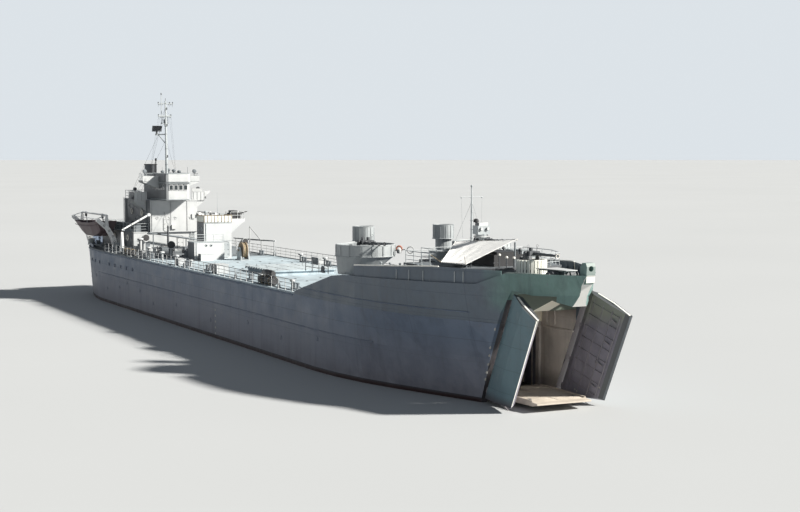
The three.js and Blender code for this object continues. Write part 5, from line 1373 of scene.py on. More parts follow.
winches = Kit("cargo_winches", "dark", slot="dark_metal", bevel=0.012)
wraps = Kit("winch_wire", "steel", slot="dark_metal")
for x, y in ((23.0, -2.0), (23.0, 2.0), (27.2, -3.2), (27.2, 1.8), (30.8, -1.2)):
    winch(winches, wraps, x, y, DECK, True, 1.05)
winches.done()
wraps.done()
clutter = Kit("bridge_front_clutter", "mid", slot="house_paint", bevel=0.015)
for x0, x1, y0, y1, h in ((20.3, 21.1, 3.1, 4.9, 1.2), (20.3, 21.0, -4.8, -3.4, 1.0), (25.4, 26.2, 3.2, 4.4, 1.3), (28.6, 29.6, 3.6, 5.0, 0.9), (25.0, 25.8, -0.4, 0.8, 0.8), (29.0, 30.0, -4.6, -3.4, 1.1), (33.0, 34.2, 1.4, 2.9, 1.0), (32.4, 33.4, -2.6, -1.2, 0.8)):
    locker(clutter, x0, x1, y0, y1, DECK, DECK + h)
# a spar stowed athwart the house front, on crutches, and the post behind it
clutter.tube([(21.0, -3.5, 8.82), (21.1, -1.0, 8.45), (21.2, 1.6, 8.02), (21.3, 4.9, 7.5)], [0.09, 0.13, 0.13, 0.09], 10)
for y, z in ((-3.0, 8.62), (1.3, 7.94), (4.5, 7.42)):
    clutter.bar((21.15, y, DECK), (21.15, y, z), 0.07)
clutter.done()
post_dark = Kit("king_post", "dark", slot="dark_metal")
post_dark.tube([(21.9, -1.3, DECK), (21.9, -1.3, 9.75)], [0.16, 0.11], 12)
post_dark.ring((21.9, -1.3, 9.5), (0, 0, 1), 0.15, 0.035, 16, 6)
post_dark.tube([(21.9, -1.3, 9.6), (20.32, -1.3, 11.4)], 0.02, 5)
post_dark.lathe((21.9, -1.3, DECK - 0.01), (0, 0, 1), [(0.32, 0), (0.32, 0.05), (0.17, 0.09)], 14)
post_dark.done()

# white spar on posts along the port side
spar = Kit("port_side_spar", "white", slot="white_paint")
spar.tube([(21.6, 7.55, 7.95), (29.0, 7.55, 8.1), (36.4, 7.55, 8.3)], [0.07, 0.1, 0.07], 10)
for x, z in ((22.6, 7.92), (31.65, 8.12), (36.0, 8.25)):
    spar.tube([(x, 7.55, DECK), (x, 7.55, z)], 0.075, 10)
    spar.ring((x, 7.55, z + 0.04), (1, 0, 0), 0.12, 0.03, 14, 6)
spar.tube([(28.2, 7.3, 9.7), (31.6, 7.5, 8.15)], 0.05, 8)
spar.tube([(28.2, 7.3, 9.7), (28.2, 7.3, DECK)], 0.06, 8)
spar.done()

# ------------------------------------------------------------------ block ahead of the bridge
mid = Kit("forward_block_slats", "cream", slot="white_paint", bevel=0.008)
gaps = Kit("forward_block_posts", "wood", slot="reel_wood", bevel=0.005)
for k in range(8):
    y0 = -1.68 + k * 0.42
    mid.box(37.2, 37.28, y0 + 0.05, y0 + 0.37, 10.78, 11.46)
    gaps.box(37.2, 37.25, y0 - 0.03, y0 + 0.03, 10.7, 11.58)
gaps.box(37.2, 37.25, 1.65, 1.71, 10.7, 11.58)
for k in range(6):
    x0 = 34.75 + k * 0.41
    for s in (-1, 1):
        mid.box(x0 + 0.04, x0 + 0.36, min(s * 1.7, s * 1.78), max(s * 1.7, s * 1.78), 10.78, 11.46)
        gaps.box(x0 - 0.03, x0 + 0.03, min(s * 1.7, s * 1.75), max(s * 1.7, s * 1.75), 10.7, 11.56)
gaps.tube([(34.66, -1.74, 11.56), (37.24, -1.74, 11.56), (37.24, 1.74, 11.56), (34.66, 1.74, 11.56)], 0.035, 6)
mid.done()
gaps.done()
trim = Kit("forward_block_trim", "grey", slot="white_paint", bevel=0.006)
dogs = Kit("house_door_dogs", "dark", slot="dark_metal")
glass_bits = Kit("port_light_glass", "glass")
door(trim, dogs, 37.2, 1.0, DECK + 0.15, (1, 0))
door(trim, dogs, 36.2, -1.0, 6.46, (-1, 0))
for y in (-1.9, -1.3):
    port_light(trim, glass_bits, 38.6, y, 8.1, (1, 0), 0.09)
for x in (35.3, 36.5):
    for s in (-1, 1):
        port_light(trim, glass_bits, x, s * 1.7, 9.9, (0, s))
        port_light(trim, glass_bits, x, s * 1.7, 7.8, (0, s)) if s > 0 else None
ladder(trim, 34.6, 0.9, DECK, 10.9, (-1, 0))
for z in (8.55, 10.66):
    trim.tube([(37.23, -1.72, z), (37.23, 1.72, z)], 0.03, 6)
trim.tube([(37.24, -1.45, DECK), (37.24, -1.45, 10.65)], 0.045, 8)
trim.tube([(38.63, -3.1, DECK), (38.63, -3.1, 8.45)], 0.04, 8)
trim.box(36.15, 38.65, -3.4, 0.34, 8.47, 8.56)
trim.done()
whip = Kit("block_whip", "grey", slot="house_paint")
whip.tube([(36.3, 0.3, 10.75), (36.3, 0.3, 12.0), (36.25, 0.28, 14.2)], [0.05, 0.035, 0.012], 6)
whip.lathe((36.3, 0.3, 10.75), (0, 0, 1), [(0.12, 0), (0.12, 0.1), (0.07, 0.2), (0.07, 0.34), (0, 0.36)], 12)
whip.lathe((35.5, -0.9, 10.75), (0, 0, 1), [(0.18, 0), (0.1, 0.06), (0.1, 0.9), (0.2, 0.98), (0.22, 1.2), (0.1, 1.3), (0, 1.3)], 14)
whip.box(34.9, 35.4, 0.9, 1.5, 10.75, 11.7)
whip.done()
# gear stowed on the bracketed platform to port
port_gear = Kit("bracket_platform_gear", "black", slot="dark_metal", bevel=0.02)
port_gear.box(35.15, 36.75, 1.85, 3.0, 11.1, 11.75)
port_gear.box(35.3, 36.6, 2.0, 2.7, 11.7, 12.05)
port_gear.tube([(36.2, 2.4, 11.6), (36.3, 3.3, 11.75), (36.35, 4.0, 11.95)], [0.12, 0.09, 0.04], 8)
port_gear.lathe((35.5, 2.9, 11.1), (0, 0, 1), [(0.24, 0), (0.2, 0.4), (0.26, 0.5), (0.1, 0.62), (0, 0.63)], 12)
port_gear.done()
strut = Kit("bracket_platform_rail", "white", slot="white_paint")
rail(strut, [(35.1, 1.75, 11.1), (35.1, 3.42, 11.1), (36.8, 3.42, 11.1), (36.8, 1.75, 11.1)], height=0.8, bars=(1.0, 0.5), step=0.85)
strut.done()

# hawser on its reel
hawser = Kit("hawser_turns", "rope", "hawser_reel", "reel_wood")
for layer, (r, span) in enumerate(((0.71, 0.15), (0.79, 0.13))):
    turns = 3
    hawser.tube([(40.2 + r * math.cos(2 * math.pi * k / 28), 2.05 - span + 2 * span * k / (28 * turns), 7.58 + r * math.sin(2 * math.pi * k / 28)) for k in range(28 * turns + 1)], 0.05, 8)
hawser.done()
reel_trim = Kit("reel_cheeks", "wood", "hawser_reel", "reel_wood", bevel=0.006)
for s in (-1, 1):
    y = 2.05 + s * 0.275
    reel_trim.ring((40.2, y, 7.58), (0, 1, 0), 0.91, 0.04, 36, 6)
    for k in range(8):
        a = 2 * math.pi * k / 8
        reel_trim.beam((40.2 + 0.2 * math.cos(a), y, 7.58 + 0.2 * math.sin(a)), (40.2 + 0.88 * math.cos(a), y, 7.58 + 0.88 * math.sin(a)), 0.04, 0.09, up=(-math.sin(a), 0, math.cos(a)))
    reel_trim.lathe((40.2, y, 7.58), (0, s, 0), [(0.2, -0.02), (0.2, 0.05), (0.13, 0.07)], 14)
reel_trim.done()

# ------------------------------------------------------------------ main house and bridge
hs = Kit("main_house_trim", "white", slot="white_paint", bevel=0.006)
wall_glass = Kit("main_house_glass", "glass")
# deck edges and their gutter bars
hs.tube([(20.33, -3.12, 12.82), (20.33, 3.12, 12.82)], 0.05, 6)
for _, s in SIDES:
    hs.tube([(20.03, s * 5.22, 8.84), (5.0, s * 5.22, 8.84)], 0.045, 6)
    hs.tube([(20.33, s * 3.12, 12.82), (8.6, s * 3.12, 12.82)], 0.04, 6)
hs.tube([(20.03, -5.2, 8.84), (20.03, -3.12, 8.84)], 0.045, 6)
hs.tube([(20.03, 5.2, 8.84), (20.03, 3.12, 8.84)], 0.045, 6)
for y in (-2.2, 0.2, 2.2):
    port_light(hs, wall_glass, 20.3, y, 10.6, (1, 0), 0.1)
for y in (-4.2, 4.2):
    port_light(hs, wall_glass, 20.0, y, 7.9, (1, 0), 0.1)
for _, s in SIDES:
    for x in (18.6, 16.2, 13.6, 10.8):
        port_light(hs, wall_glass, x, s * 3.1, 10.2, (0, s))
        port_light(hs, wall_glass, x, s * 3.1, 12.0, (0, s)) if x < 16 else None
    for x in (18.7, 16.4, 12.4, 10.2, 7.6):
        port_light(hs, wall_glass, x, s * 5.2, 7.9, (0, s))
# doors
for x, y, z, f in ((20.0, 0.9, DECK + 0.1, (1, 0)), (20.3, -1.0, 8.95, (1, 0)), (14.4, -5.2, DECK + 0.1, (0, -1)), (14.4, 5.2, DECK + 0.1, (0, 1)), (14.9, -3.1, 8.95, (0, -1)), (14.9, 3.1, 8.95, (0, 1)), (8.6, 1.4, 8.95, (-1, 0)), (5.0, 1.2, DECK + 0.1, (-1, 0))):
    door(hs, dogs, x, y, z, f)
# stiffeners and conduit on the front
for y in (-2.9, 1.75):
    hs.tube([(20.34, y, 8.95), (20.34, y, 12.8)], 0.03, 6)
hs.tube([(20.335, -0.4, 9.0), (20.335, -0.4, 12.8)], 0.022, 5)
hs.box(20.3, 20.5, -0.35, 0.25, 9.2, 9.75)
hs.box(20.3, 20.44, 2.35, 2.75, 10.5, 11.1)
hs.done()
ladders = Kit("house_ladders", "grey", slot="house_paint")
ladder(ladders, 20.0, 2.6, 6.5, 9.0, (1, 0))
for _, s in SIDES:
    ladder(ladders, 8.9, s * 3.1, 8.9, 13.0, (0, s))
    # sloping ladder from the main deck to the house deck
    x0, x1 = 4.95, 3.6
    for d in (0, 0.7):
        ladders.beam((x0, s * (3.2 + d), 8.95), (x1, s * (3.2 + d), DECK), 0.05, 0.16)
    for k in range(9):
        f = (k + 0.5) / 9
        ladders.box(x0 + (x1 - x0) * f - 0.1, x0 + (x1 - x0) * f + 0.1, min(s * 3.2, s * 3.9), max(s * 3.2, s * 3.9), 8.95 + (DECK - 8.95) * f - 0.02, 8.95 + (DECK - 8.95) * f + 0.02)
ladder(ladders, 12.6, 0.8, 12.9, 15.4, (-1, 0))
ladders.done()

visor = Kit("bridge_visor", "grey", slot="white_paint", bevel=0.006)
plan = [(16.0, -1.72), (21.85, -1.72), (22.2, -1.58), (22.35, -1.3), (22.35, 1.3), (22.2, 1.58), (21.85, 1.72), (16.0, 1.72)]
for (xa, ya), (xb, yb) in zip(plan, plan[1:]):
    for z, w, h in ((15.1, 0.16, 0.07), (13.02, 0.1, 0.1), (16.3, 0.1, 0.08)):
        visor.beam((xa, ya, z), (xb, yb, z), w, h)
visor.done()
win_frames = Kit("pilot_house_frames", "white", slot="white_paint", bevel=0.005)
win_glass = Kit("pilot_house_glass", "glass")


def window(p, q, z0, z1):
    """A framed pane on the wall line from p to q."""
    p, q = Vector((*p, 0)), Vector((*q, 0))
    d = (q - p).normalized()
    o = Vector((d.y, -d.x, 0))
    a, b = p + d * 0.07, q - d * 0.07
    up = lambda v, z: Vector((v.x, v.y, z))
    win_glass.prism([up(a, z0) + o * 0.005, up(b, z0) + o * 0.005, up(b, z1) + o * 0.005, up(a, z1) + o * 0.005], o * 0.02)
    for s_, e in ((up(a, z0), up(b, z0)), (up(a, z1), up(b, z1))):
        win_frames.beam(s_ + o * 0.02, e + o * 0.02, 0.07, 0.07)
    for v in (a, b):
        win_frames.beam(up(v, z0) + o * 0.02, up(v, z1) + o * 0.02, 0.07, 0.06, up=o)
    win_frames.beam(up(a, z1 + 0.1) + o * 0.07, up(b, z1 + 0.1) + o * 0.07, 0.16, 0.03)


def pane_row(points, sizes):
    for (p, q), n in zip(zip(points, points[1:]), sizes):
        p, q = Vector(p), Vector(q)
        for k in range(n):
            window(tuple(p.lerp(q, k / n)), tuple(p.lerp(q, (k + 1) / n)), 14.2, 14.82)


pane_row([(17.2, -1.625), (21.7, -1.625)], (6,))
pane_row([(22.205, -1.25), (22.205, 1.25)], (4,))
pane_row([(21.7, 1.625), (17.2, 1.625)], (6,))
win_frames.done()
win_glass.done()

bridge_gear = Kit("flying_bridge_gear", "mid", slot="house_paint", bevel=0.008)
for x, y, h in ((20.4, 0.0, 1.35), (19.2, -1.1, 1.2), (19.2, 1.1, 1.2), (15.3, 0.9, 1.4)):
    bridge_gear.lathe((x, y, 15.42), (0, 0, 1), [(0.22, 0), (0.14, 0.06), (0.12, h - 0.3), (0.24, h - 0.22), (0.26, h - 0.05), (0.12, h + 0.05), (0, h + 0.06)], 14)
for s in (-1, 1):
    # signal lamps on the wings, lockers behind
    bridge_gear.tube([(18.6, s * 3.3, 15.4), (18.6, s * 3.3, 16.35)], 0.05, 8)
    bridge_gear.lathe((18.42, s * 3.3, 16.55), (1, 0, 0), [(0.12, 0), (0.24, 0.1), (0.25, 0.4), (0.2, 0.42), (0, 0.4)], 16)
    bridge_gear.box(13.5, 14.5, min(s * 1.0, s * 1.55), max(s * 1.0, s * 1.55), 15.42, 16.2)
    bridge_gear.tube([(20.9, s * 1.66, 16.25), (20.9, s * 1.66, 17.1)], 0.025, 6)
bridge_gear.done()
wing = Kit("bridge_wing_gear", "white", slot="white_paint", bevel=0.008)
wing_dark = Kit("bridge_wing_dark", "dark", slot="dark_metal")
for word, s in SIDES:
    # brackets under the wings
    for x in (16.6, 18.4):
        wing.prism([(x, s * 3.12, 12.76), (x, s * 4.65, 12.76), (x, s * 4.65, 12.6), (x, s * 3.12, 11.5)], (0.06, 0, 0))
        wing.prism([(x + 0.9, s * 1.63, 15.26), (x + 0.9, s * 3.7, 15.26), (x + 0.9, s * 3.7, 15.15), (x + 0.9, s * 1.63, 14.3)], (0.05, 0, 0))
    for y in (3.2, 3.7, 4.2, 4.65):
        wing.beam((18.62, s * y, 12.8), (18.62, s * y, 13.88), 0.05, 0.05)
    wing.tube([(18.62, s * 3.0, 13.92), (18.62, s * 4.7, 13.92), (16.4, s * 4.7, 13.92)], 0.045, 8)
    # side light box and its lamp
    wing_dark.box(17.6, 18.5, min(s * 4.72, s * 4.95), max(s * 4.72, s * 4.95), 13.0, 13.08)
    wing_dark.box(17.6, 18.5, min(s * 4.72, s * 4.77), max(s * 4.72, s * 4.77), 13.0, 13.5)
    wing_dark.lathe((18.35, s * 4.86, 13.08), (0, 0, 1), [(0.08, 0), (0.08, 0.22), (0, 0.26)], 12)
    wing_dark.tube([(17.3, s * 4.2, 12.9), (17.3, s * 4.2, 14.1)], 0.06, 8)
    wing_dark.lathe((17.1, s * 4.2, 14.3), (1, 0, 0), [(0.1, 0), (0.2, 0.08), (0.22, 0.36), (0, 0.36)], 14)
wing.prism([(18.5, 3.3, 13.9), (18.5, 5.45, 14.0), (18.5, 5.45, 13.86), (18.5, 4.3, 12.85)], (0.08, 0, 0))
wing.prism([(17.5, 3.3, 14.3), (17.5, 4.7, 14.25), (17.5, 4.7, 13.9), (17.5, 3.3, 13.9)], (0.08, 0, 0))
wing.done()
wing_dark.done()

# starboard-side and port-side fittings on the house: floats, rings, boxes, pipes
rings_white = Kit("life_rings", "ring", slot="white_paint")
rack = Kit("house_side_boxes", "mid", slot="house_paint", bevel=0.01)
for _, s in SIDES:
    for x, y, z in ((17.6, 5.3, 8.1), (11.4, 5.3, 8.1), (16.9, 3.2, 11.2), (12.2, 3.2, 11.3), (19.0, 4.78, 13.4)):
        if z < 13:
            life_ring(rings_white, (x, s * y, z), (0, 1, 0), 0.33)
    for x, z in ((19.1, 8.9), (12.9, 8.9), (10.0, 8.9)):
        rack.box(x - 0.4, x + 0.4, min(s * 4.1, s * 4.8), max(s * 4.1, s * 4.8), z, z + 0.9)
    for x in (18.8, 9.6):
        rack.tube([(x, s * 3.16, 8.95), (x, s * 3.16, 12.8)], 0.05, 8)
        rack.tube([(x, s * 5.26, DECK), (x, s * 5.26, 8.8)], 0.05, 8)
    rack.box(11.8, 12.7, min(s * 3.1, s * 3.4), max(s * 3.1, s * 3.4), 9.4, 10.0)
    rack.box(15.9, 16.5, min(s * 5.2, s * 5.45), max(s * 5.2, s * 5.45), 7.1, 7.7)
rings_white.done()
rack.done()
floats = Kit("life_floats", "canvas", slot="canvas")
for _, s in SIDES:
    for x, z in ((13.4, 13.3), (11.6, 13.3)):
        pts = []
        for k in range(28):
            a = 2 * math.pi * k / 28
            ca, sa = math.cos(a), math.sin(a)
            pts.append((x + 0.75 * math.copysign(abs(ca) ** 0.6, ca), s * 2.75 + 0.1 * sa, z + 0.55 * math.copysign(abs(sa) ** 0.6, sa)))
        floats.tube(pts, 0.16, 10, closed=True)
floats.done()
float_nets = Kit("life_float_nets", "rope", slot="canvas")
for _, s in SIDES:
    for x, z in ((13.4, 13.3), (11.6, 13.3)):
        for k in range(-3, 4):
            float_nets.tube([(x + 0.18 * k, s * 2.75, z - 0.45), (x + 0.18 * k, s * 2.75, z + 0.45)], 0.012, 4)
        for k in range(-2, 3):
            float_nets.tube([(x - 0.65, s * 2.75, z + 0.18 * k), (x + 0.65, s * 2.75, z + 0.18 * k)], 0.012, 4)
float_nets.done()

# funnel: cap, bands, whistle, steam pipes
stack = Kit("funnel_trim", "black", slot="dark_metal")


def oval(z, a, b, k=36):
    return [(10.3 + a * math.cos(2 * math.pi * i / k), b * math.sin(2 * math.pi * i / k), z) for i in range(k)]


stack.tube(oval(17.38, 1.36, 0.75), 0.06, 8, closed=True)
stack.tube(oval(16.2, 1.375, 0.755), 0.03, 6, closed=True)
stack.tube(oval(13.4, 1.425, 0.785), 0.035, 6, closed=True)
stack.tube([(11.75, 0.3, 13.0), (11.72, 0.3, 16.6), (11.68, 0.3, 17.9)], 0.07, 8)
stack.tube([(11.75, -0.3, 13.0), (11.72, -0.3, 17.2)], 0.05, 8)
stack.lathe((11.68, 0.3, 17.85), (0, 0, 1), [(0.08, 0), (0.13, 0.05), (0.13, 0.3), (0.05, 0.36), (0, 0.36)], 12)
for s in (-1, 1):
    stack.tube([(9.6, s * 0.66, 16.2), (8.9, s * 2.8, 12.95)], 0.01, 4)
    stack.tube([(11.0, s * 0.66, 16.2), (11.6, s * 2.8, 12.95)], 0.01, 4)
ladder(stack, 8.92, 0.0, 13.0, 17.2, (-1, 0), 0.36)
stack.done()

# ------------------------------------------------------------------ mast
mast_x = lambda z: 17.45 + (z - 15.47) / (25.55 - 15.47) * (17.15 - 17.45)
mast_gear = Kit("mast_gear", "mid", slot="house_paint", bevel=0.006)
mast_dark = Kit("mast_lamps", "dark", slot="dark_metal")
# the lookout platform's rail
x = mast_x(22.6)
rail(mast_gear, [(x - 0.05, -0.4, 22.68), (x - 0.7, -0.4, 22.68), (x - 0.7, 0.35, 22.68), (x - 0.05, 0.35, 22.68)], height=0.85, bars=(1.0, 0.5), step=0.4, r=0.016, post=0.02)
mast_gear.box(x - 0.35, x - 0.12, -0.2, 0.1, 22.68, 23.2)
# steps up the after side
for k in range(19):
    z = 16.9 + k * 0.3
    x = mast_x(z) - 0.18
    mast_gear.tube([(x + 0.1, -0.14, z), (x - 0.05, -0.14, z), (x - 0.05, 0.14, z), (x + 0.1, 0.14, z)], 0.014, 5)
# collars and the lamps on their brackets
for z in (17.4, 19.4, 21.3, 23.6, 25.2):
    mast_gear.ring((mast_x(z), 0, z), (-0.2, 0, 1), 0.2 - (z - 15.5) * 0.009, 0.03, 16, 6)
for z in (18.3, 22.3, 24.4):
    x = mast_x(z)
    mast_gear.beam((x, 0, z), (x + 0.55, 0, z), 0.06, 0.05)
    mast_dark.lathe((x + 0.5, 0, z + 0.03), (0, 0, 1), [(0.09, 0), (0.1, 0.03), (0.085, 0.06), (0.085, 0.2), (0.1, 0.22), (0.03, 0.3), (0, 0.3)], 12)
for y, z in ((0.7, 23.7), (-0.95, 23.7), (-0.95, 25.28), (0.95, 25.28), (0.55, 25.28)):
    x = mast_x(z)
    mast_dark.lathe((x, y, z - 0.04), (0, 0, 1), [(0.05, 0), (0.07, 0.05), (0.07, 0.16), (0.03, 0.2), (0, 0.2)], 10)
    mast_dark.tube([(x, y, z - 0.05), (x, y, z - 0.5)], 0.01, 4)
mast_dark.tube([(mast_x(25.5), 0, 25.45), (mast_x(25.5), 0, 25.9)], 0.035, 6)
mast_dark.lathe((mast_x(23.5), -0.57, 26.3), (0, 0, 1), [(0.03, 0), (0.08, 0.05), (0.08, 0.2), (0.03, 0.28), (0, 0.29)], 10)
mast_dark.done()
# yard braces, blocks and lifts
for z, y, up in ((25.2, 0.95, 0.3), (23.6, 0.7, 0.8)):
    for s in (-1, 1):
        mast_gear.tube([(mast_x(z), s * y, z), (mast_x(z + up), 0, z + up)], 0.012, 4)
        for f in (0.45, 0.75, 0.95):
            mast_gear.lathe((mast_x(z) + 0.02, s * y * f, z - 0.04), (0, 0, -1), [(0.04, 0), (0.05, 0.05), (0.05, 0.13), (0, 0.17)], 8)
mast_gear.done()

# stays and shrouds, all of them taut
wires = Kit("stays", "black", slot="dark_metal")
head = lambda z, y=0.0: (mast_x(z), y, z)
for p, q in (
    (head(23.2), (9.2, -2.7, 12.95)), (head(23.2), (9.2, 2.7, 12.95)),
    (head(20.6), (14.4, -3.05, 12.95)), (head(20.6), (14.4, 3.05, 12.95)),
    (head(24.9), (3.4, 0.0, 8.7)),
):
    wires.tube([p, q], 0.011, 5)
# halyards from the upper yard to the bridge
for k, y in enumerate((-0.95, -0.75, 0.5, 0.7)):
    wires.tube([(mast_x(23.6), y, 23.55), (15.2 + 0.3 * k, 1.65 if y > 0 else -1.65, 16.3)], 0.007, 4)
wires.done()

radar_x, radar_y = mast_x(21.3) - 1.3, -0.83
radar = Kit("radar_aerial", "dark", "radar_antenna", "dark_metal")
for k in range(8):
    y = radar_y - 0.62 + 1.24 * k / 7
    radar.tube([(radar_x + 0.02, y, 21.72), (radar_x + 0.16, y, 22.04), (radar_x + 0.22, y, 22.34)], 0.016, 5)
for z, x in ((21.74, 0.12), (21.9, 0.18), (22.06, 0.21), (22.22, 0.24), (22.36, 0.24)):
    radar.tube([(radar_x + x, radar_y - 0.63, z), (radar_x + x, radar_y + 0.63, z)], 0.016, 5)
radar.tube([(radar_x + 0.1, radar_y, 21.6), (radar_x + 0.5, radar_y, 21.86)], 0.03, 6)
radar.lathe((radar_x + 0.44, radar_y, 21.83), (0.9, 0, 0.4), [(0.05, 0), (0.08, 0.05), (0.08, 0.12), (0, 0.14)], 10)
radar.done()

# ------------------------------------------------------------------ boats on their davits
for word, s in SIDES:
    body = f"{word}_davits"
    dark = Kit(f"{word}_boat_trim", "boat", body, "boat_paint", bevel=0.006)
    wood = Kit(f"{word}_boat_thwarts", "wood", body, "reel_wood", bevel=0.004)
    gun = [(3.5, 1.4, 9.8), (5.1, 1.52, 9.75), (7.5, 1.58, 9.7), (11.5, 1.55, 9.8), (13.9, 1.4, 10.05), (14.5, 1.3, 10.1)]
    yc = s * 7.15
    ring_ = [(x, yc + b, z) for x, b, z in gun] + [(x, yc - b, z) for x, b, z in reversed(gun)]
    dark.tube([(x, y, z + 0.01) for x, y, z in ring_], 0.055, 8, closed=True)
    rub = [(x, yc + b + 0.0, z - 0.35) for x, b, z in gun]
    for d in (-1, 1):
        dark.tube([(x, yc + d * (b - 0.04), z - 0.42) for x, b, z in gun], 0.045, 6)
    # ribs inside, floor boards, the engine box and the coxswain's stand
    for k in range(9):
        x = 6.8 + k * 0.7
        for d in (-1, 1):
            wood.beam((x, yc + d * 0.88, 8.5), (x, yc + d * 1.36, 9.62), 0.06, 0.05, up=(0, d, 0))
    for k in range(5):
        y = yc - 0.6 + k * 0.3
        wood.box(6.9, 12.0, y - 0.11, y + 0.11, 8.36, 8.42)
    for x in (8.2, 9.8, 11.4):
        wood.box(x - 0.14, x + 0.14, yc - 1.28, yc + 1.28, 9.25, 9.31)
    dark.box(5.6, 7.2, yc - 0.62, yc + 0.62, 8.75, 9.5)
    dark.box(4.9, 5.3, yc + 0.2, yc + 0.7, 9.0, 9.7)
    dark.ring((5.45, yc + 0.45, 9.8), (1, 0, 0.4), 0.2, 0.02, 16, 5)
    # bow ramp stiffeners, keel shoe, fenders
    for k in range(4):
        y = yc - 0.9 + k * 0.6
        dark.beam((14.51, y * 0.9 + yc * 0.1, 9.1), (14.53, y, 10.0), 0.06, 0.08)
    dark.tube([(3.6, yc, 9.12), (5.1, yc, 8.48), (7.5, yc, 8.05), (11.5, yc, 8.05), (13.9, yc, 8.53), (14.4, yc, 8.9)], 0.06, 8)
    dark.done()
    wood.done()
    # the davit gear takes the brighter white as painted sunlight
    davit = Kit(f"{word}_davit_gear", "bright", body, "white_paint", bevel=0.006)
    dark2 = Kit(f"{word}_davit_blocks", "dark", body, "dark_metal")
    for x in (2.75, 15.25):
        for d in (-1, 1):
            # edge flanges, lightening rings
            outline = [(-6.55, 6.8), (-6.9, 8.0), (-7.5, 9.1), (-8.75, 10.2)]
            davit.tube([(x + d * 0.21, s * -y, z) for y, z in outline], 0.035, 6)
            outline = [(-6.1, 6.8), (-6.23, 7.9), (-7.05, 9.3), (-8.5, 10.55)]
            davit.tube([(x + d * 0.21, s * -y, z) for y, z in outline], 0.035, 6)
            for y, z in ((-6.42, 7.5), (-6.62, 8.2), (-7.1, 8.9), (-7.75, 9.6)):
                dark2.ring((x + d * 0.2, s * -y, z), (1, 0, 0), 0.11, 0.03, 14, 5)
        davit.tube([(x, s * 7.35, 10.9), (x, s * 8.6, 10.5)], 0.05, 8)
    for x in (4.7, 13.1):
        dark2.lathe((x, s * 7.35, 10.78), (0, 0, -1), [(0.06, 0), (0.15, 0.05), (0.17, 0.2), (0.13, 0.34), (0, 0.36)], 12)
        dark2.lathe((x, s * 7.17, 9.6), (0, 0, -1), [(0.06, 0), (0.15, 0.05), (0.17, 0.2), (0.13, 0.34), (0, 0.36)], 12)
        dark2.tube([(x - 0.08, s * 7.35, 10.6), (x - 0.08, s * 7.17, 9.4)], 0.018, 5)
        dark2.tube([(x + 0.08, s * 7.35, 10.6), (x + 0.08, s * 7.17, 9.4)], 0.018, 5)
        davit.ring((x, s * 7.35, 10.9), (1, 0, 0), 0.14, 0.04, 16, 6)
    davit.tube([(2.75, s * 8.55, 10.42), (15.25, s * 8.55, 10.42)], 0.04, 8)
    davit.done()
    dark2.done()
    # boom tackle
    boom_kit = Kit(f"{word}_boom_bands", "grey", f"{word}_boom", "white_paint")
    heel, hd = Vector((20.55, s * 3.35, 11.1)), Vector((20.75, s * 6.9, 9.25))
    way = hd - heel
    for f in (0.06, 0.35, 0.65, 0.94):
        boom_kit.ring(heel + way * f, way, 0.14 - 0.02 * f, 0.03, 16, 6)
    boom_kit.lathe(hd - way.normalized() * 0.25 + Vector((0, 0, -0.05)), (0, 0, -1), [(0.04, 0), (0.1, 0.05), (0.11, 0.16), (0, 0.24)], 10)
    boom_kit.done()

# davit feet: gussets and winches inboard
feet = Kit("davit_winches", "mid", slot="dark_metal", bevel=0.008)
feet_wire = Kit("davit_wire", "steel", slot="dark_metal")
for _, s in SIDES:
    winch(feet, feet_wire, 9.0, s * 5.9, DECK + 0.12, False, 0.6)
    for x in (2.75, 15.25):
        for d in (-0.5, 0.5):
            feet.prism([(x + d, s * 6.1, DECK + 0.1), (x + d, s * 5.65, DECK + 0.1), (x + d, s * 6.1, DECK + 0.7)], (0.03, 0, 0))
feet.done()
feet_wire.done()

# ------------------------------------------------------------------ stern
plating = Kit("stern_bulwark", "hull", slot="hull_paint", bevel=0.01)
edge_line = [(2.05, 6.0), (1.6, 5.75), (0.5, 4.5), (0.06, 3.1)]
quarter = [(3.5, 6.7), (5.2, 7.09), (7.0, 7.5), (9.0, 7.76)]
for line in ([(x, -y) for x, y in edge_line] + [(x, y) for x, y in reversed(edge_line)], [(x, y) for x, y in quarter], [(x, -y) for x, y in quarter]):
    high = 1.06 if len(line) == 8 else 0.42   # the quarters' plating is low, clear of the boats' swing
    for (xa, ya), (xb, yb) in zip(line, line[1:]):
        fa, fb = 0.97, 0.97
        plating.beam((xa + 0.06, ya * fa, DECK + high / 2 - 0.03), (xb + 0.06, yb * fb, DECK + high / 2 - 0.03), 0.06, high)
        plating.beam((xa + 0.06, ya * fa, DECK + high - 0.01), (xb + 0.06, yb * fb, DECK + high - 0.01), 0.16, 0.07)
    for p, q in zip(line, line[1:]):
        for f in (0.25, 0.75):
            x, y = p[0] + (q[0] - p[0]) * f + 0.06, (p[1] + (q[1] - p[1]) * f) * 0.97
            inward = Vector((2.5 - x if abs(y) < 5 else 0, -y, 0)).normalized() * 0.4
            plating.prism([(x, y, DECK + high - 0.08), (x, y, DECK), (x + inward.x, y + inward.y, DECK)], (0.05, 0.0, 0))
plating.done()
stern = Kit("stern_fittings", "mid", slot="house_paint", bevel=0.01)
stern_pale = Kit("stern_house_trim", "grey", slot="white_paint", bevel=0.006)
for y in (-1.4, 0, 1.4):
    port_light(stern_pale, glass_bits, 4.9, y, 8.0, (1, 0))
    port_light(stern_pale, glass_bits, 2.6, y, 8.0, (-1, 0))
for _, s in SIDES:
    port_light(stern_pale, glass_bits, 3.7, s * 2.4, 8.0, (0, s))
stern_pale.tube([(2.6, -2.43, 8.56), (4.93, -2.43, 8.56), (4.93, 2.43, 8.56), (2.57, 2.43, 8.56), (2.57, -2.43, 8.56)], 0.04, 6)
stern_pale.done()
glass_bits.done()
dogs.done()
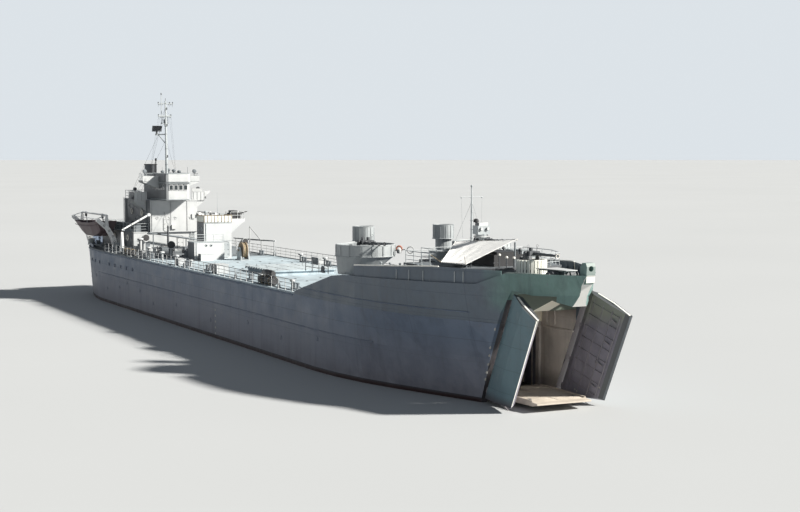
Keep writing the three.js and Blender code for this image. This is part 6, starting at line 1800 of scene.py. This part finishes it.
stern.tube([(0.35, 0, DECK), (-0.1, 0, 9.4)], [0.06, 0.03], 8)
stern.lathe((-0.1, 0, 9.38), (0, 0, 1), [(0.03, 0), (0.07, 0.04), (0.05, 0.1), (0, 0.12)], 10)
vent(stern, 3.0, -1.8, 8.6, 0.9, 0.14, 0.3)
vent(stern, 3.0, 1.8, 8.6, 0.9, 0.14, 0.3)
vent(stern, 4.4, 0.0, 8.6, 0.7, 0.14, 0.3)
for k in range(6):
    a = k
    stern.tube([(1.8 + 0.43 * math.cos(t), -0.6 + 0.24 * k, 7.15 + 0.43 * math.sin(t)) for t in [2 * math.pi * i / 20 for i in range(20)]], 0.035, 5, closed=True)
# the stern anchor in its rack at the transom
stern.tube([(-0.12, 0, 6.5), (-0.22, 0, 4.3)], 0.12, 10)
stern.tube([(-0.24, -1.05, 4.75), (-0.26, -0.6, 4.25), (-0.24, 0, 4.12), (-0.26, 0.6, 4.25), (-0.24, 1.05, 4.75)], [0.06, 0.13, 0.16, 0.13, 0.06], 10)
for s in (-1, 1):
    stern.prism([(-0.3, s * 0.85, 4.55), (-0.3, s * 1.3, 5.15), (-0.3, s * 0.95, 5.2)], (0.06, 0, 0))
    stern.prism([(0.02, s * 0.35, 6.5), (-0.3, s * 0.35, 6.5), (0.02, s * 0.35, 5.7)], (0, s * 0.08, 0))
stern.ring((-0.12, 0, 6.62), (0, 1, 0), 0.18, 0.04, 16, 6)
stern.done()

# ------------------------------------------------------------------ stage and light
floor_mesh = bpy.data.meshes.new("floor")
bm = bmesh.new()
bmesh.ops.create_circle(bm, cap_ends=True, radius=700, segments=96)
bm.to_mesh(floor_mesh)
bm.free()
floor = bpy.data.objects.new("floor", floor_mesh)
floor.location = (0, 0, WATER)
scene.collection.objects.link(floor)
fn = Nodes("pale_floor")
tone = fn.noise(0.12, 3, 0.5)
fn.link(fn.mix(fn.ramp(tone, [(0.3, 0.0), (0.7, 1.0)]), (0.46, 0.473, 0.482), (0.48, 0.493, 0.502)), fn.bsdf.inputs["Base Color"])
fn.bsdf.inputs["Roughness"].default_value = 0.85
fn.bsdf.inputs["Specular IOR Level"].default_value = 0.2
floor_mesh.materials.append(fn.mat)

world = bpy.data.worlds.new("studio")
scene.world = world
world.use_nodes = True
# pale near the horizon, dimmer overhead
tree_w = world.node_tree
height = tree_w.nodes.new("ShaderNodeSeparateXYZ")
tree_w.links.new(tree_w.nodes.new("ShaderNodeTexCoord").outputs["Generated"], height.inputs[0])
fade = tree_w.nodes.new("ShaderNodeValToRGB")
fade.color_ramp.elements[0].position = 0.10
fade.color_ramp.elements[0].color = (0.72, 0.77, 0.81, 1)
fade.color_ramp.elements[1].position = 0.26
fade.color_ramp.elements[1].color = (0.16, 0.178, 0.2, 1)
tree_w.links.new(height.outputs[2], fade.inputs[0])
tree_w.links.new(fade.outputs[0], tree_w.nodes["Background"].inputs["Color"])
tree_w.nodes["Background"].inputs["Strength"].default_value = 1.0


def sun(name, direction, strength, angle, colour):
    data = bpy.data.lights.new(name, "SUN")
    data.energy = strength
    data.angle = math.radians(angle)
    data.color = colour
    o = bpy.data.objects.new(name, data)
    o.rotation_euler = (-Vector(direction)).to_track_quat("-Z", "Y").to_euler()
    o.location = Vector(direction) * 30
    scene.collection.objects.link(o)
    return o


sun("key", (0.545, 0.65, 0.53), 8.6, 4, (1.0, 0.965, 0.9))
scene.view_settings.view_transform = "Standard"
